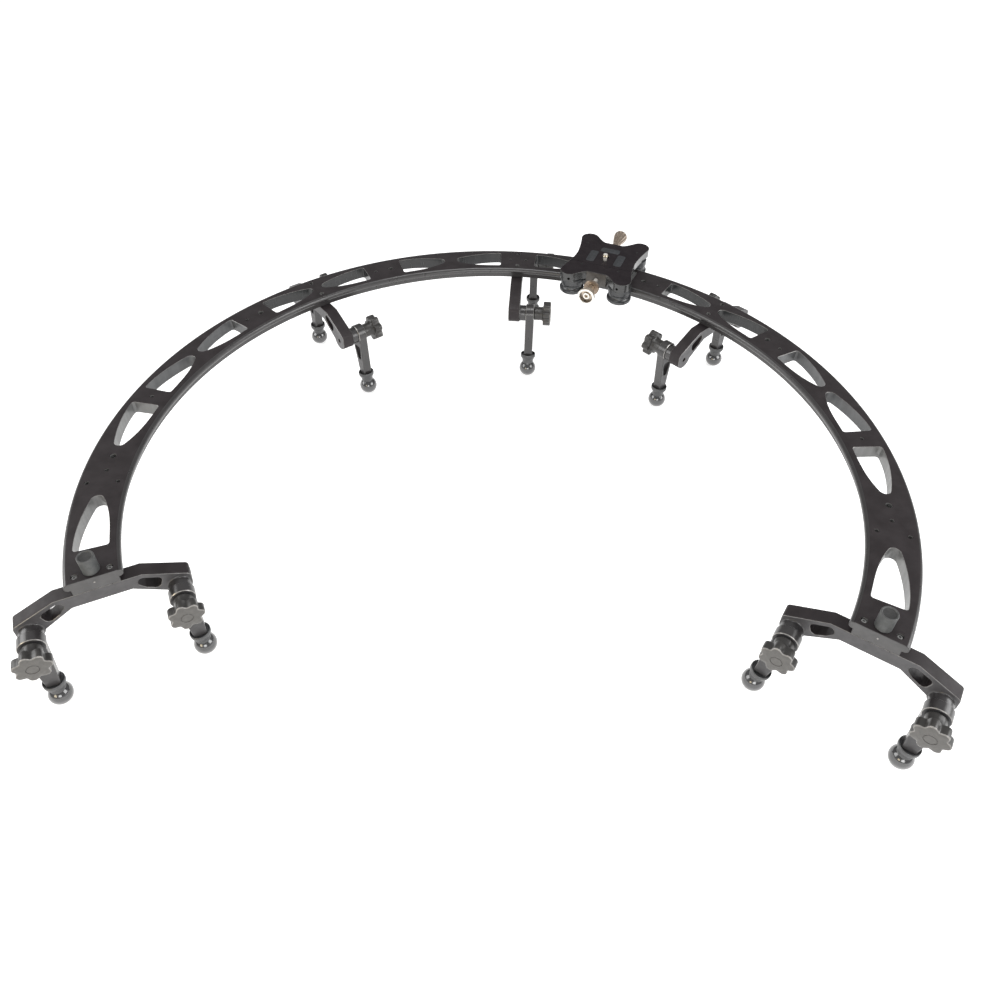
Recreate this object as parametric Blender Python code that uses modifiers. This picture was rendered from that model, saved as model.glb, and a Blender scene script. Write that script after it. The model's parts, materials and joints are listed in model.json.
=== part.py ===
"""Circular camera slider: a curved rail on five brackets with ten folding legs, and a rolling camera carriage.

Lengths are in metres and +Z is up. Heights are first written from the top of the rail, and radii from
the centre of the arc; the whole object is then moved so that it stands on z = 0, centred on x and y.
"""
import bpy
import bmesh
import math
from mathutils import Matrix, Vector

# Rail
RAIL_OUTER_RADIUS = 0.610
RAIL_WIDTH = 0.074
RAIL_HALF_SPAN = 119.2
RAIL_STEPS = 72
FLANGE_HEIGHT = 0.0124
NECK_INSET = 0.007
NECK_DEPTH = 0.0096
BEAD_STEPS = 4

# Windows of the rail, for each half: angle of the flat end, angle of the rounded tip
WINDOWS = ((3.5, 12.35), (23.7, 14.9), (30.8, 40.2), (51.75, 42.3),
           (58.6, 68.3), (79.7, 69.9), (83.35, 93.3), (113.8, 103.8))
WINDOW_HALF_WIDTH = 0.0232
WINDOW_CORNER = 0.004
WINDOW_TIP_RADIUS = 0.009
WINDOW_TIP_START = 20.0
WINDOW_SIDE_POWER = 1.7

# Holes in the top of the rail, for each half: angle
BOLT_SPACING = 0.044
BOLT_HOLE_RADIUS = 0.0038
SPARE_BOLT_ANGLE = 101.1
SMALL_HOLE_RADIUS = 0.003
SMALL_HOLES = (98.6, 81.4, 56.8, 29.0)
LARGE_HOLE_RADIUS = 0.0048
LARGE_HOLES = (95.6, 53.7, 25.9)
CENTRE_HOLE_ANGLE = 1.55

# End bumpers
BUMPER_RADIUS = 0.011
BUMPER_HEIGHT = 0.028
BUMPER_INSET = 1.4
BUMPER_DISH_RADIUS = 0.0075
BUMPER_DISH_DEPTH = 0.0015
BUMPER_CHAMFER = 0.001

# Brackets: an arch across the rail, thin along it
BRACKET_THICKNESS = 0.022
BRACKET_FLAT_HALF = 0.055
BRACKET_ARCH_HALF = 0.038
BRACKET_DEPTH = 0.022
PIVOT_SPAN = 0.1898
PIVOT_DEPTH = 0.0637
ARM_END_RADIUS = 0.0175
ARM_CORNER_RISE = 0.0157
ARM_CORNER_RADIUS = 0.007
ARM_HEEL_ANGLE = -166.0
ARM_WALL_TOP = 0.0068
ARM_WALL_BOTTOM = 0.0046
ARM_WINDOW_TIP = (0.0055, 0.0085)
ARM_WINDOW_START = 0.0025
ARM_WINDOW_HEEL = 0.017
ARM_WINDOW_END = 0.0020
ARM_WINDOW_CORNER = 0.0038
BOSS_RADIUS = 0.0152
BOSS_LENGTH = 0.012
MIDDLE_BRACKET_ANGLE = 41.5

# Legs and clamp knobs, stacked along the pivot's axis
LEG_THICKNESS = 0.016
LEG_HEAD_RADIUS = 0.0175
LEG_SHOULDER_ANGLE = 30.0
LEG_END_WIDTH = 0.018
LEG_SLOT_TOP = 0.025
LEG_SLOT_BOTTOM = 0.055
LEG_SLOT_WIDTH = 0.009
LEG_SLOT_TOP_WIDTH = 0.022
LEG_SLOT_CORNER = 0.0044
STUD_RADIUS = 0.004
STUD_REACH = 0.022
KNOB_HUB_RADIUS = 0.0132
KNOB_HUB_LENGTH = 0.018
KNOB_FLARE_RADIUS = 0.0158
KNOB_FLARE_LENGTH = 0.004
KNOB_RADIUS = 0.024
KNOB_LOBE_DEPTH = 0.005
KNOB_LOBES = 7
KNOB_THICKNESS = 0.0155
KNOB_FACE_RADIUS = 0.0075
KNOB_FACE_DEPTH = 0.001

# Ball feet, screwed into the legs
BALL_RADIUS = 0.0165
BALL_DEPTH = 0.1804
FOOT_NECK_RADIUS = 0.0107
FOOT_NECK_TOP = 0.0205
FOOT_CUP_RADIUS = 0.01475
FOOT_CUP_BOTTOM = 0.025
FOOT_CUP_TOP = 0.032
FOOT_CUP_RIM = 0.0035
FOOT_CUP_WALL = 0.002
FOOT_STEM_RADIUS = 0.005
FOOT_STEM_LENGTH = 0.020

# Carriage: u runs along the rail to the right, v away from the arc's centre
CARRIAGE_ANGLE = -17.65
PLATE_BOTTOM = 0.012
PLATE_THICKNESS = 0.0165
LOBE_U = 0.052
LOBE_V = 0.067
LOBE_RADIUS = 0.018
WAIST_HALF = 0.059
WAIST_POWER = 1.6
WAIST_LOBE_ANGLE = -15.0
FRONT_HALF = 0.060
FRONT_FLAT_HALF = 0.018
FRONT_POWER = 1.3
FRONT_LOBE_ANGLE = 140.0
JAW_SPLIT = -0.0295
JAW_GAP = 0.0006
JAW_BLOCK_HALF = 0.0205
JAW_BLOCK_FRONT = -0.0605
JAW_BLOCK_BACK = -0.042
JAW_BLOCK_LIFT = 0.001
JAW_BLOCK_STEP = 0.001
THREAD_LUG_HALF = 0.010
THREAD_LUG_END = -0.0155
THREAD_LUG_LIFT = 0.004
GUIDE_PIN_RADIUS = 0.003
GUIDE_PIN_LENGTH = 0.030
GUIDE_PIN_U = 0.030
SCREW_LINE = 0.0195

# Grip pads on the plate: middle u, middle v, size along u, size along v
PADS = {"grip_pad_left": (-0.027, -0.001, 0.016, 0.042),
        "grip_pad_right": (0.028, -0.001, 0.016, 0.042),
        "grip_pad_rear": (0.001, 0.030, 0.038, 0.016)}
PAD_THICKNESS = 0.0015
PAD_SEAT = 0.001
PAD_CORNER = 0.0045

# Camera screw in its slot
CAMERA_SCREW_RADIUS = 0.00476
CAMERA_SCREW_STAND = 0.011
CAMERA_SCREW_HEAD_RADIUS = 0.009
CAMERA_SCREW_HEAD_HEIGHT = 0.008
CAMERA_SLOT_HALF = 0.012
CAMERA_SCREW_V = -0.004

# Grooved wheels on the rail's two beads
WHEEL_U = 0.048
WHEEL_GROOVE_RADIUS = 0.019
WHEEL_RADIUS = 0.022
GROOVE_STEPS = 4
WHEEL_FLANGE_RADIUS = 0.0235
WHEEL_FLANGE_DEPTH = 0.0176
WHEEL_DEPTH = 0.0214
WHEEL_DISH_RADIUS = 0.0125
WHEEL_DISH_DEPTH = 0.0045
AXLE_RADIUS = 0.003
AXLE_SEAT = 0.009
AXLE_HEAD_RADIUS = 0.0065
AXLE_HEAD_HEIGHT = 0.004

# Tension knob at the front of the jaw, turned about a level axis
TENSION_LINE = 0.013
TENSION_SHAFT_RADIUS = 0.004
TENSION_SHAFT_SEAT = -0.0185
TENSION_COLLAR_START = 0.026
TENSION_COLLAR_THICKNESS = 0.006
TENSION_COLLAR_RADIUS = 0.0148
TENSION_KNOB_LENGTH = 0.033
TENSION_NECK_LENGTH = 0.007
TENSION_NECK_RADIUS = 0.0075
TENSION_BARREL_START = 0.015
TENSION_BARREL_END = 0.0245
TENSION_BARREL_RADIUS = 0.0118
TENSION_FACE_RADIUS = 0.0165
TENSION_FACE_LENGTH = 0.0055
TENSION_FACE_DEPTH = 0.003
TENSION_FACE_RING = 0.0124

# Brake at the rear: a knob that drives a shoe down onto the rail
BRAKE_SHOE_V = 0.0265
BRAKE_SHOE_RADIUS = 0.006
BRAKE_SHOE_TOP = 0.0182
BRAKE_POCKET_HEIGHT = 0.0192
BRAKE_SHAFT_RADIUS = 0.003
BRAKE_NECK_RADIUS = 0.0065
BRAKE_NECK_LENGTH = 0.016
BRAKE_KNOB_LENGTH = 0.051
BRAKE_KNOB_RADIUS = 0.0135
BRAKE_WAIST_SHARE = 0.85
BRAKE_DOME = 0.004
BRAKE_DOME_SHARE = 0.7

# Clearances
GAP = 0.0003
WHEEL_GAP = 0.0004
WELD = 0.00001
ROUND_SIDES = 20
KNOB_SIDES = 16
SMALL_SIDES = 12
TINY_SIDES = 8

RAIL_INNER_RADIUS = RAIL_OUTER_RADIUS - RAIL_WIDTH
RAIL_MIDDLE_RADIUS = (RAIL_OUTER_RADIUS + RAIL_INNER_RADIUS) / 2
BEAD_RADIUS = FLANGE_HEIGHT / 2
RAIL_BOTTOM = -(FLANGE_HEIGHT + NECK_DEPTH)
PLATE_TOP = PLATE_BOTTOM + PLATE_THICKNESS
PIVOT_HALF = PIVOT_SPAN / 2
LEG_START = BOSS_LENGTH + GAP
KNOB_START = LEG_START + LEG_THICKNESS + GAP
BALL_DROP = BALL_DEPTH - PIVOT_DEPTH
LEG_LENGTH = BALL_DROP - FOOT_CUP_TOP + FOOT_CUP_RIM - GAP

# Brackets: name, angle, place of the leg face along the rail, side that the legs point to,
# tilt of the inner and the outer leg away from the arc's centre, in degrees
BRACKETS = (
    ("left", RAIL_HALF_SPAN, 0.0, 1, -2.6, 1.0),
    ("mid_left", MIDDLE_BRACKET_ANGLE, -BRACKET_THICKNESS / 2, -1, -7.2, 1.5),
    ("centre", 0.0, -BRACKET_THICKNESS / 2, -1, -11.7, 1.0),
    ("mid_right", -MIDDLE_BRACKET_ANGLE, BRACKET_THICKNESS / 2, 1, -1.2, 0.3),
    ("right", -RAIL_HALF_SPAN, 0.0, -1, -9.8, -2.7),
)


def circle(radius, sides, centre=(0.0, 0.0)):
    """Points of a closed circle."""
    step = 2 * math.pi / sides
    return [(centre[0] + radius * math.cos(k * step), centre[1] + radius * math.sin(k * step))
            for k in range(sides)]


def bore(radius, sides, centre=(0.0, 0.0)):
    """Points of a round hole whose flats, not its corners, lie at the radius."""
    return circle(radius / math.cos(math.pi / sides), sides, centre)


def arc(centre, radius, start, end, steps):
    """Points along an arc, both ends included; angles in degrees."""
    points = []
    for k in range(steps + 1):
        angle = math.radians(start + (end - start) * k / steps)
        points.append((centre[0] + radius * math.cos(angle), centre[1] + radius * math.sin(angle)))
    return points


def rounded(corners, radius, steps=2):
    """A closed polygon with each corner turned into an arc of the given radius."""
    points = []
    for k, corner in enumerate(corners):
        here = Vector(corner)
        back = (Vector(corners[k - 1]) - here).normalized()
        ahead = (Vector(corners[(k + 1) % len(corners)]) - here).normalized()
        half = math.acos(max(-1.0, min(1.0, back.dot(ahead)))) / 2
        centre = here + (back + ahead).normalized() * (radius / math.sin(half))
        first = here + back * (radius / math.tan(half)) - centre
        turn = first.angle_signed(here + ahead * (radius / math.tan(half)) - centre)
        for step in range(steps + 1):
            spoke = first.copy()
            spoke.rotate(Matrix.Rotation(-turn * step / steps, 2))
            points.append(tuple(centre + spoke))
    return points


def box_outline(centre, size, corner=0.0):
    """A rectangle, with rounded corners where a radius is given."""
    x, y = size[0] / 2, size[1] / 2
    corners = [(centre[0] - x, centre[1] - y), (centre[0] + x, centre[1] - y),
               (centre[0] + x, centre[1] + y), (centre[0] - x, centre[1] + y)]
    return rounded(corners, corner) if corner else corners


def evaluated_mesh(obj):
    """The object's mesh with its modifiers applied; the object itself is removed."""
    bpy.context.view_layer.update()
    graph = bpy.context.evaluated_depsgraph_get()
    mesh = bpy.data.meshes.new_from_object(obj.evaluated_get(graph))
    bpy.data.objects.remove(obj)
    return mesh


def workshop_object(data):
    """An object in the collection of cutters and guides."""
    obj = bpy.data.objects.new("workshop", data)
    obj.hide_render = True
    bpy.data.collections["cutters"].objects.link(obj)
    return obj


def welded(mesh):
    """Merges doubled points and turns the faces outward."""
    bm = bmesh.new()
    bm.from_mesh(mesh)
    bmesh.ops.remove_doubles(bm, verts=bm.verts, dist=WELD)
    bmesh.ops.recalc_face_normals(bm, faces=bm.faces)
    bm.to_mesh(mesh)
    bm.free()
    return mesh


def extruded(loops, low, high):
    """A flat outline in x and y, with further loops as holes, from z = low to z = high."""
    curve = bpy.data.curves.new("outline", "CURVE")
    curve.dimensions = "2D"
    curve.fill_mode = "BOTH"
    curve.extrude = (high - low) / 2
    for loop in loops:
        spline = curve.splines.new("POLY")
        spline.points.add(len(loop) - 1)
        for point, (x, y) in zip(spline.points, loop):
            point.co = (x, y, 0.0, 1.0)
        spline.use_cyclic_u = True
    mesh = welded(evaluated_mesh(workshop_object(curve)))
    mesh.transform(Matrix.Translation((0, 0, (high + low) / 2)))
    return mesh


def turned(profile, sides, ring=False):
    """A profile of (radius, height) points turned about z, top to bottom along its outer side."""
    mesh = bpy.data.meshes.new("profile")
    edges = [(k, k + 1) for k in range(len(profile) - 1)]
    if ring:
        edges.append((len(profile) - 1, 0))
    mesh.from_pydata([(radius, 0.0, height) for radius, height in profile], edges, [])
    obj = workshop_object(mesh)
    screw = obj.modifiers.new("turn", "SCREW")
    screw.axis = "Z"
    screw.steps = sides
    screw.render_steps = sides
    screw.use_merge_vertices = True
    screw.merge_threshold = WELD
    return welded(evaluated_mesh(obj))


def combined(mesh, other, operation):
    """A mesh joined with another (UNION) or cut by it (DIFFERENCE, INTERSECT)."""
    obj = workshop_object(mesh)
    tool = workshop_object(other)
    boolean = obj.modifiers.new("combine", "BOOLEAN")
    boolean.operation = operation
    boolean.solver = "EXACT"
    boolean.object = tool
    result = evaluated_mesh(obj)
    bpy.data.objects.remove(tool)
    return result


def moved(mesh, matrix):
    """The same mesh, moved."""
    mesh.transform(matrix)
    return mesh


def joined(meshes):
    """Several separate meshes as one."""
    bm = bmesh.new()
    for mesh in meshes:
        bm.from_mesh(mesh)
    result = bpy.data.meshes.new("joined")
    bm.to_mesh(result)
    bm.free()
    return result


def material(name, colour, roughness, metallic):
    """A plain Principled material."""
    made = bpy.data.materials.new(name)
    made.use_nodes = True
    shader = made.node_tree.nodes["Principled BSDF"]
    shader.inputs["Base Color"].default_value = (*colour, 1.0)
    shader.inputs["Roughness"].default_value = roughness
    shader.inputs["Metallic"].default_value = metallic
    return made


def empty(name, parent, matrix):
    """A frame that parts are placed in."""
    frame = bpy.data.objects.new(name, None)
    bpy.data.collections["circular_camera_slider"].objects.link(frame)
    frame.parent = parent
    frame.matrix_local = matrix
    return frame


def part(name, mesh, finish, parent, matrix=None):
    """One piece of the object."""
    obj = bpy.data.objects.new(name, mesh)
    bpy.data.collections["circular_camera_slider"].objects.link(obj)
    obj.parent = parent
    obj.matrix_local = matrix or Matrix.Identity(4)
    if not mesh.materials:
        mesh.materials.append(finish)
        mesh.shade_smooth()
        mesh.set_sharp_from_angle(angle=math.radians(35))
    return obj


def along_rail(angle):
    """Frame at an angle of the arc: x away from the arc's centre, y along the rail, z up."""
    return Matrix.Rotation(math.radians(angle + 90), 4, "Z")


def rail_section():
    """Half-round edges on a flat flange, with a narrower neck below; x is the radius."""
    outer = arc((RAIL_OUTER_RADIUS - BEAD_RADIUS, -BEAD_RADIUS), BEAD_RADIUS, 90, -90, BEAD_STEPS)
    inner = arc((RAIL_INNER_RADIUS + BEAD_RADIUS, -BEAD_RADIUS), BEAD_RADIUS, 270, 90, BEAD_STEPS)
    neck_outer = RAIL_OUTER_RADIUS - NECK_INSET
    neck_inner = RAIL_INNER_RADIUS + NECK_INSET
    neck = [(neck_outer, -FLANGE_HEIGHT), (neck_outer, RAIL_BOTTOM),
            (neck_inner, RAIL_BOTTOM), (neck_inner, -FLANGE_HEIGHT)]
    return outer + neck + inner


def window_outline(flat_angle, tip_angle):
    """A window of the rail: flat at one end, bowed sides, rounded at the other."""
    length = RAIL_MIDDLE_RADIUS * math.radians(abs(tip_angle - flat_angle))
    start = math.radians(WINDOW_TIP_START)
    tip_place = length - WINDOW_TIP_RADIUS
    side_end = tip_place + WINDOW_TIP_RADIUS * math.sin(start)
    tip_half = WINDOW_TIP_RADIUS * math.cos(start)
    corner = arc((WINDOW_CORNER, WINDOW_HALF_WIDTH - WINDOW_CORNER), WINDOW_CORNER, 180, 90, 2)
    side = []
    for k in range(1, 5):
        share = k / 5
        place = WINDOW_CORNER + (side_end - WINDOW_CORNER) * share
        half = tip_half + (WINDOW_HALF_WIDTH - tip_half) * (1 - share ** WINDOW_SIDE_POWER)
        side.append((place, half))
    tip = arc((tip_place, 0.0), WINDOW_TIP_RADIUS, 90 - WINDOW_TIP_START, 0, 2)
    upper = corner + side + tip
    lower = [(place, -half) for place, half in reversed(upper[:-1])]
    toward_tip = 1 if tip_angle > flat_angle else -1
    points = []
    for place, half in upper + lower:
        angle = math.radians(flat_angle + 90) + toward_tip * place / RAIL_MIDDLE_RADIUS
        radius = RAIL_MIDDLE_RADIUS + half
        points.append((radius * math.cos(angle), radius * math.sin(angle)))
    return points


def rail_hole(angle, radius, hole_radius):
    """Outline of a round hole in the rail."""
    turn = math.radians(angle + 90)
    return bore(hole_radius, TINY_SIDES, (radius * math.cos(turn), radius * math.sin(turn)))


def bracket_bolt_angles():
    """Angles of the bolt pairs that hold the brackets."""
    end = RAIL_HALF_SPAN - math.degrees(BRACKET_THICKNESS / 2 / RAIL_MIDDLE_RADIUS)
    return (end, MIDDLE_BRACKET_ANGLE, 0.0, -MIDDLE_BRACKET_ANGLE, -end)


def rail_mesh():
    """The curved rail with its windows and holes."""
    bm = bmesh.new()
    start = along_rail(-RAIL_HALF_SPAN)
    corners = [bm.verts.new(start @ Vector((x, 0, z))) for x, z in rail_section()]
    face = bm.faces.new(corners)
    bmesh.ops.spin(bm, geom=[face] + face.edges[:] + face.verts[:], cent=(0, 0, 0), axis=(0, 0, 1),
                   angle=math.radians(2 * RAIL_HALF_SPAN), steps=RAIL_STEPS)
    mesh = bpy.data.meshes.new("rail")
    bm.to_mesh(mesh)
    bm.free()
    openings = []
    for flat_angle, tip_angle in WINDOWS:
        openings.append(window_outline(flat_angle, tip_angle))
        openings.append(window_outline(-flat_angle, -tip_angle))
    for side in (1, -1):
        for angle in SMALL_HOLES:
            openings.append(rail_hole(side * angle, RAIL_MIDDLE_RADIUS, SMALL_HOLE_RADIUS))
        for angle in LARGE_HOLES:
            openings.append(rail_hole(side * angle, RAIL_MIDDLE_RADIUS, LARGE_HOLE_RADIUS))
        openings.append(rail_hole(side * CENTRE_HOLE_ANGLE, RAIL_MIDDLE_RADIUS, SMALL_HOLE_RADIUS))
    for angle in bracket_bolt_angles() + (SPARE_BOLT_ANGLE, -SPARE_BOLT_ANGLE):
        for offset in (-BOLT_SPACING / 2, BOLT_SPACING / 2):
            openings.append(rail_hole(angle, RAIL_MIDDLE_RADIUS + offset, BOLT_HOLE_RADIUS))
    cutters = [extruded([outline], RAIL_BOTTOM - NECK_DEPTH, NECK_DEPTH) for outline in openings]
    return combined(welded(mesh), joined(cutters), "DIFFERENCE")


def crossing(start, slope, x):
    """The point of a sloping line at a given x."""
    return (x, start.y + slope * (x - start.x))


def arm_points():
    """Shoulder, outer corner, heel and underside meeting point of a bracket's arm at +x."""
    pivot = Vector((PIVOT_HALF, -PIVOT_DEPTH))
    shoulder = Vector((BRACKET_FLAT_HALF, RAIL_BOTTOM))
    corner = pivot + Vector((ARM_END_RADIUS, ARM_CORNER_RISE))
    heel = Vector((BRACKET_ARCH_HALF, RAIL_BOTTOM - BRACKET_DEPTH))
    turn = math.radians(ARM_HEEL_ANGLE)
    meeting = pivot + Vector((math.cos(turn), math.sin(turn))) * ARM_END_RADIUS
    return pivot, shoulder, corner, heel, meeting


def arm_outline():
    """The half of a bracket's outline at +x, from its top middle to its bottom middle."""
    pivot, shoulder, corner, heel, meeting = arm_points()
    side_end = pivot + Vector((ARM_END_RADIUS, 0))
    top = rounded([tuple(shoulder), tuple(corner), tuple(side_end)], ARM_CORNER_RADIUS, 2)[3:6]
    end = arc(pivot, ARM_END_RADIUS, 0.0, ARM_HEEL_ANGLE, 7)
    return [tuple(shoulder)] + top + end + [tuple(heel)]


def arm_window():
    """Corners of the window in a bracket's arm, kept at set walls from its edges and its boss."""
    pivot, shoulder, corner, heel, meeting = arm_points()
    top_slope = (corner.y - shoulder.y) / (corner.x - shoulder.x)
    low_slope = (meeting.y - heel.y) / (meeting.x - heel.x)
    top = shoulder - Vector((0, ARM_WALL_TOP * math.hypot(1, top_slope)))
    low = heel + Vector((0, ARM_WALL_BOTTOM * math.hypot(1, low_slope)))
    end = pivot.x - BOSS_RADIUS - ARM_WINDOW_END
    return [tuple(heel + Vector(ARM_WINDOW_TIP)), crossing(top, top_slope, shoulder.x - ARM_WINDOW_START),
            crossing(top, top_slope, end), crossing(low, low_slope, end - ARM_WINDOW_CORNER),
            crossing(low, low_slope, heel.x + ARM_WINDOW_HEEL)]


def bracket_mesh():
    """A bracket in its own frame: x across the rail, y up, z towards the legs, 0 at the leg face."""
    half = arm_outline()
    outline = half + [(-x, y) for x, y in reversed(half)]
    window = rounded(arm_window(), ARM_WINDOW_CORNER, 1)
    loops = [outline, window, [(-x, y) for x, y in reversed(window)]]
    mesh = extruded(loops, -BRACKET_THICKNESS, 0.0)
    for side in (1, -1):
        pivot = (side * PIVOT_HALF, -PIVOT_DEPTH)
        boss = extruded([circle(BOSS_RADIUS, KNOB_SIDES, pivot)], -BRACKET_THICKNESS / 2, BOSS_LENGTH)
        mesh = combined(mesh, boss, "UNION")
        hole = extruded([bore(STUD_RADIUS + GAP, TINY_SIDES, pivot)], -2 * BRACKET_THICKNESS, 2 * BOSS_LENGTH)
        mesh = combined(mesh, hole, "DIFFERENCE")
    return mesh


def leg_mesh():
    """A leg hanging from its pivot along -y, with its thickness along z from the bracket outwards."""
    end_half = LEG_END_WIDTH / 2
    head = arc((0, 0), LEG_HEAD_RADIUS, -LEG_SHOULDER_ANGLE, 180 + LEG_SHOULDER_ANGLE, 12)
    outline = head + [(-end_half, -LEG_LENGTH), (end_half, -LEG_LENGTH)]
    top_half, bottom_half = LEG_SLOT_TOP_WIDTH / 2, LEG_SLOT_WIDTH / 2
    slot = rounded([(top_half, -LEG_SLOT_TOP), (-top_half, -LEG_SLOT_TOP),
                    (-bottom_half, -LEG_SLOT_BOTTOM), (bottom_half, -LEG_SLOT_BOTTOM)], LEG_SLOT_CORNER, 2)
    stud_hole = bore(STUD_RADIUS + GAP, TINY_SIDES)
    mesh = extruded([outline, slot, stud_hole], LEG_START, LEG_START + LEG_THICKNESS)
    socket = extruded([bore(FOOT_STEM_RADIUS + GAP, TINY_SIDES)], -GAP, FOOT_STEM_LENGTH + FOOT_CUP_RIM)
    matrix = Matrix.Translation((0, -LEG_LENGTH, LEG_START + LEG_THICKNESS / 2)) @ Matrix.Rotation(
        math.radians(-90), 4, "X")
    return combined(mesh, moved(socket, matrix), "DIFFERENCE")


def clamp_knob_mesh():
    """A lobed hand knob with its hub and its stud, which reaches through the leg into the boss."""
    points = []
    for k in range(4 * KNOB_LOBES):
        angle = 2 * math.pi * k / (4 * KNOB_LOBES)
        radius = KNOB_RADIUS - KNOB_LOBE_DEPTH / 2 * (1 - math.cos(KNOB_LOBES * angle))
        points.append((radius * math.cos(angle), radius * math.sin(angle)))
    face = KNOB_START + KNOB_HUB_LENGTH
    mesh = extruded([points], face, face + KNOB_THICKNESS)
    hub = [(0, face + KNOB_THICKNESS / 2), (KNOB_FLARE_RADIUS, face + KNOB_THICKNESS / 2),
           (KNOB_FLARE_RADIUS, face), (KNOB_HUB_RADIUS, face - KNOB_FLARE_LENGTH),
           (KNOB_HUB_RADIUS, KNOB_START), (STUD_RADIUS, KNOB_START),
           (STUD_RADIUS, KNOB_START - LEG_THICKNESS - STUD_REACH), (0, KNOB_START - LEG_THICKNESS - STUD_REACH)]
    mesh = combined(mesh, turned(hub, SMALL_SIDES), "UNION")
    dish = extruded([circle(KNOB_FACE_RADIUS, TINY_SIDES)], face + KNOB_THICKNESS - KNOB_FACE_DEPTH,
                    face + 2 * KNOB_THICKNESS)
    return combined(mesh, dish, "DIFFERENCE")


def ball_foot_mesh():
    """A ball foot with its cup and threaded stem; 0 at the ball's centre, z along the leg."""
    stem_top = FOOT_CUP_TOP - FOOT_CUP_RIM + FOOT_STEM_LENGTH
    floor = FOOT_CUP_TOP - FOOT_CUP_RIM
    neck_angle = math.degrees(math.acos(FOOT_NECK_RADIUS / BALL_RADIUS))
    ball = arc((0, 0), BALL_RADIUS, neck_angle, -90, 6)
    ball[-1] = (0.0, -BALL_RADIUS)
    profile = [(0, stem_top), (FOOT_STEM_RADIUS, stem_top), (FOOT_STEM_RADIUS, floor),
               (FOOT_CUP_RADIUS - FOOT_CUP_WALL, floor), (FOOT_CUP_RADIUS - FOOT_CUP_WALL, FOOT_CUP_TOP),
               (FOOT_CUP_RADIUS, FOOT_CUP_TOP), (FOOT_CUP_RADIUS, FOOT_CUP_BOTTOM),
               (FOOT_NECK_RADIUS, FOOT_NECK_TOP)] + ball
    return turned(profile, SMALL_SIDES)


def bumper_mesh():
    """A round rubber bumper with a shallow dish in its top."""
    profile = [(0, BUMPER_HEIGHT - BUMPER_DISH_DEPTH), (BUMPER_DISH_RADIUS, BUMPER_HEIGHT - BUMPER_DISH_DEPTH),
               (BUMPER_DISH_RADIUS, BUMPER_HEIGHT), (BUMPER_RADIUS - BUMPER_CHAMFER, BUMPER_HEIGHT),
               (BUMPER_RADIUS, BUMPER_HEIGHT - BUMPER_CHAMFER), (BUMPER_RADIUS, GAP), (0, GAP)]
    return turned(profile, ROUND_SIDES)


def plate_outline():
    """The carriage's outline in u and v: four round lobes with drawn-in sides between them."""
    lobe = arc((LOBE_U, LOBE_V), LOBE_RADIUS, WAIST_LOBE_ANGLE, FRONT_LOBE_ANGLE, 7)
    waist_end, front_end = lobe[0], lobe[-1]
    quarter = []
    for k in range(4):
        share = k / 4
        quarter.append((WAIST_HALF + (waist_end[0] - WAIST_HALF) * share ** WAIST_POWER, waist_end[1] * share))
    quarter += lobe
    for k in range(3, -1, -1):
        share = k / 4
        quarter.append((FRONT_FLAT_HALF + (front_end[0] - FRONT_FLAT_HALF) * share,
                        FRONT_HALF + (front_end[1] - FRONT_HALF) * share ** FRONT_POWER))
    left = [(-u, v) for u, v in reversed(quarter)]
    front_left = [(-u, -v) for u, v in quarter[1:]]
    front_right = [(u, -v) for u, v in reversed(quarter[1:])]
    return quarter + left + front_left + front_right


def plate_blank():
    """The whole plate before it is split into main plate and jaw."""
    quarter = plate_outline()
    return extruded([quarter], PLATE_BOTTOM, PLATE_TOP)


def plate_half(low, high):
    """The plate between two values of v."""
    middle = (0.0, (low + high) / 2)
    keep = extruded([box_outline(middle, (4 * LOBE_U, high - low))], PLATE_BOTTOM - GAP, PLATE_TOP + GAP)
    return combined(plate_blank(), keep, "INTERSECT")


def level_bore(radius, start, end, u=0.0, height=SCREW_LINE):
    """A round cutter along v at the height of a screw, from v = start to v = end."""
    hole = extruded([bore(radius, TINY_SIDES)], start, end)
    return moved(hole, Matrix.Translation((u, 0, height)) @ Matrix.Rotation(math.radians(-90), 4, "X"))


def wheel_places():
    """u and v of each wheel: the groove seats on the rail's rounded edge."""
    reach = WHEEL_GROOVE_RADIUS + WHEEL_GAP
    outer = math.sqrt((RAIL_OUTER_RADIUS + reach) ** 2 - WHEEL_U ** 2) - RAIL_MIDDLE_RADIUS
    inner = math.sqrt((RAIL_INNER_RADIUS - reach) ** 2 - WHEEL_U ** 2) - RAIL_MIDDLE_RADIUS
    return {"rear_left": (-WHEEL_U, outer), "rear_right": (WHEEL_U, outer),
            "front_left": (-WHEEL_U, inner), "front_right": (WHEEL_U, inner)}


def axle_seats(mesh, row):
    """Blind holes in the underside for the axle bolts of the front or the rear wheels."""
    for name, place in wheel_places().items():
        if name.startswith(row):
            seat = extruded([bore(AXLE_RADIUS + GAP, TINY_SIDES, place)],
                            PLATE_BOTTOM - PLATE_THICKNESS, PLATE_BOTTOM + AXLE_SEAT + GAP)
            mesh = combined(mesh, seat, "DIFFERENCE")
    return mesh


def guide_pin_holes(mesh):
    """Holes across the split for the pins that guide the jaw."""
    half = GUIDE_PIN_LENGTH / 2 + GAP
    for side in (1, -1):
        hole = level_bore(GUIDE_PIN_RADIUS + GAP, JAW_SPLIT - half, JAW_SPLIT + half, side * GUIDE_PIN_U)
        mesh = combined(mesh, hole, "DIFFERENCE")
    return mesh


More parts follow.
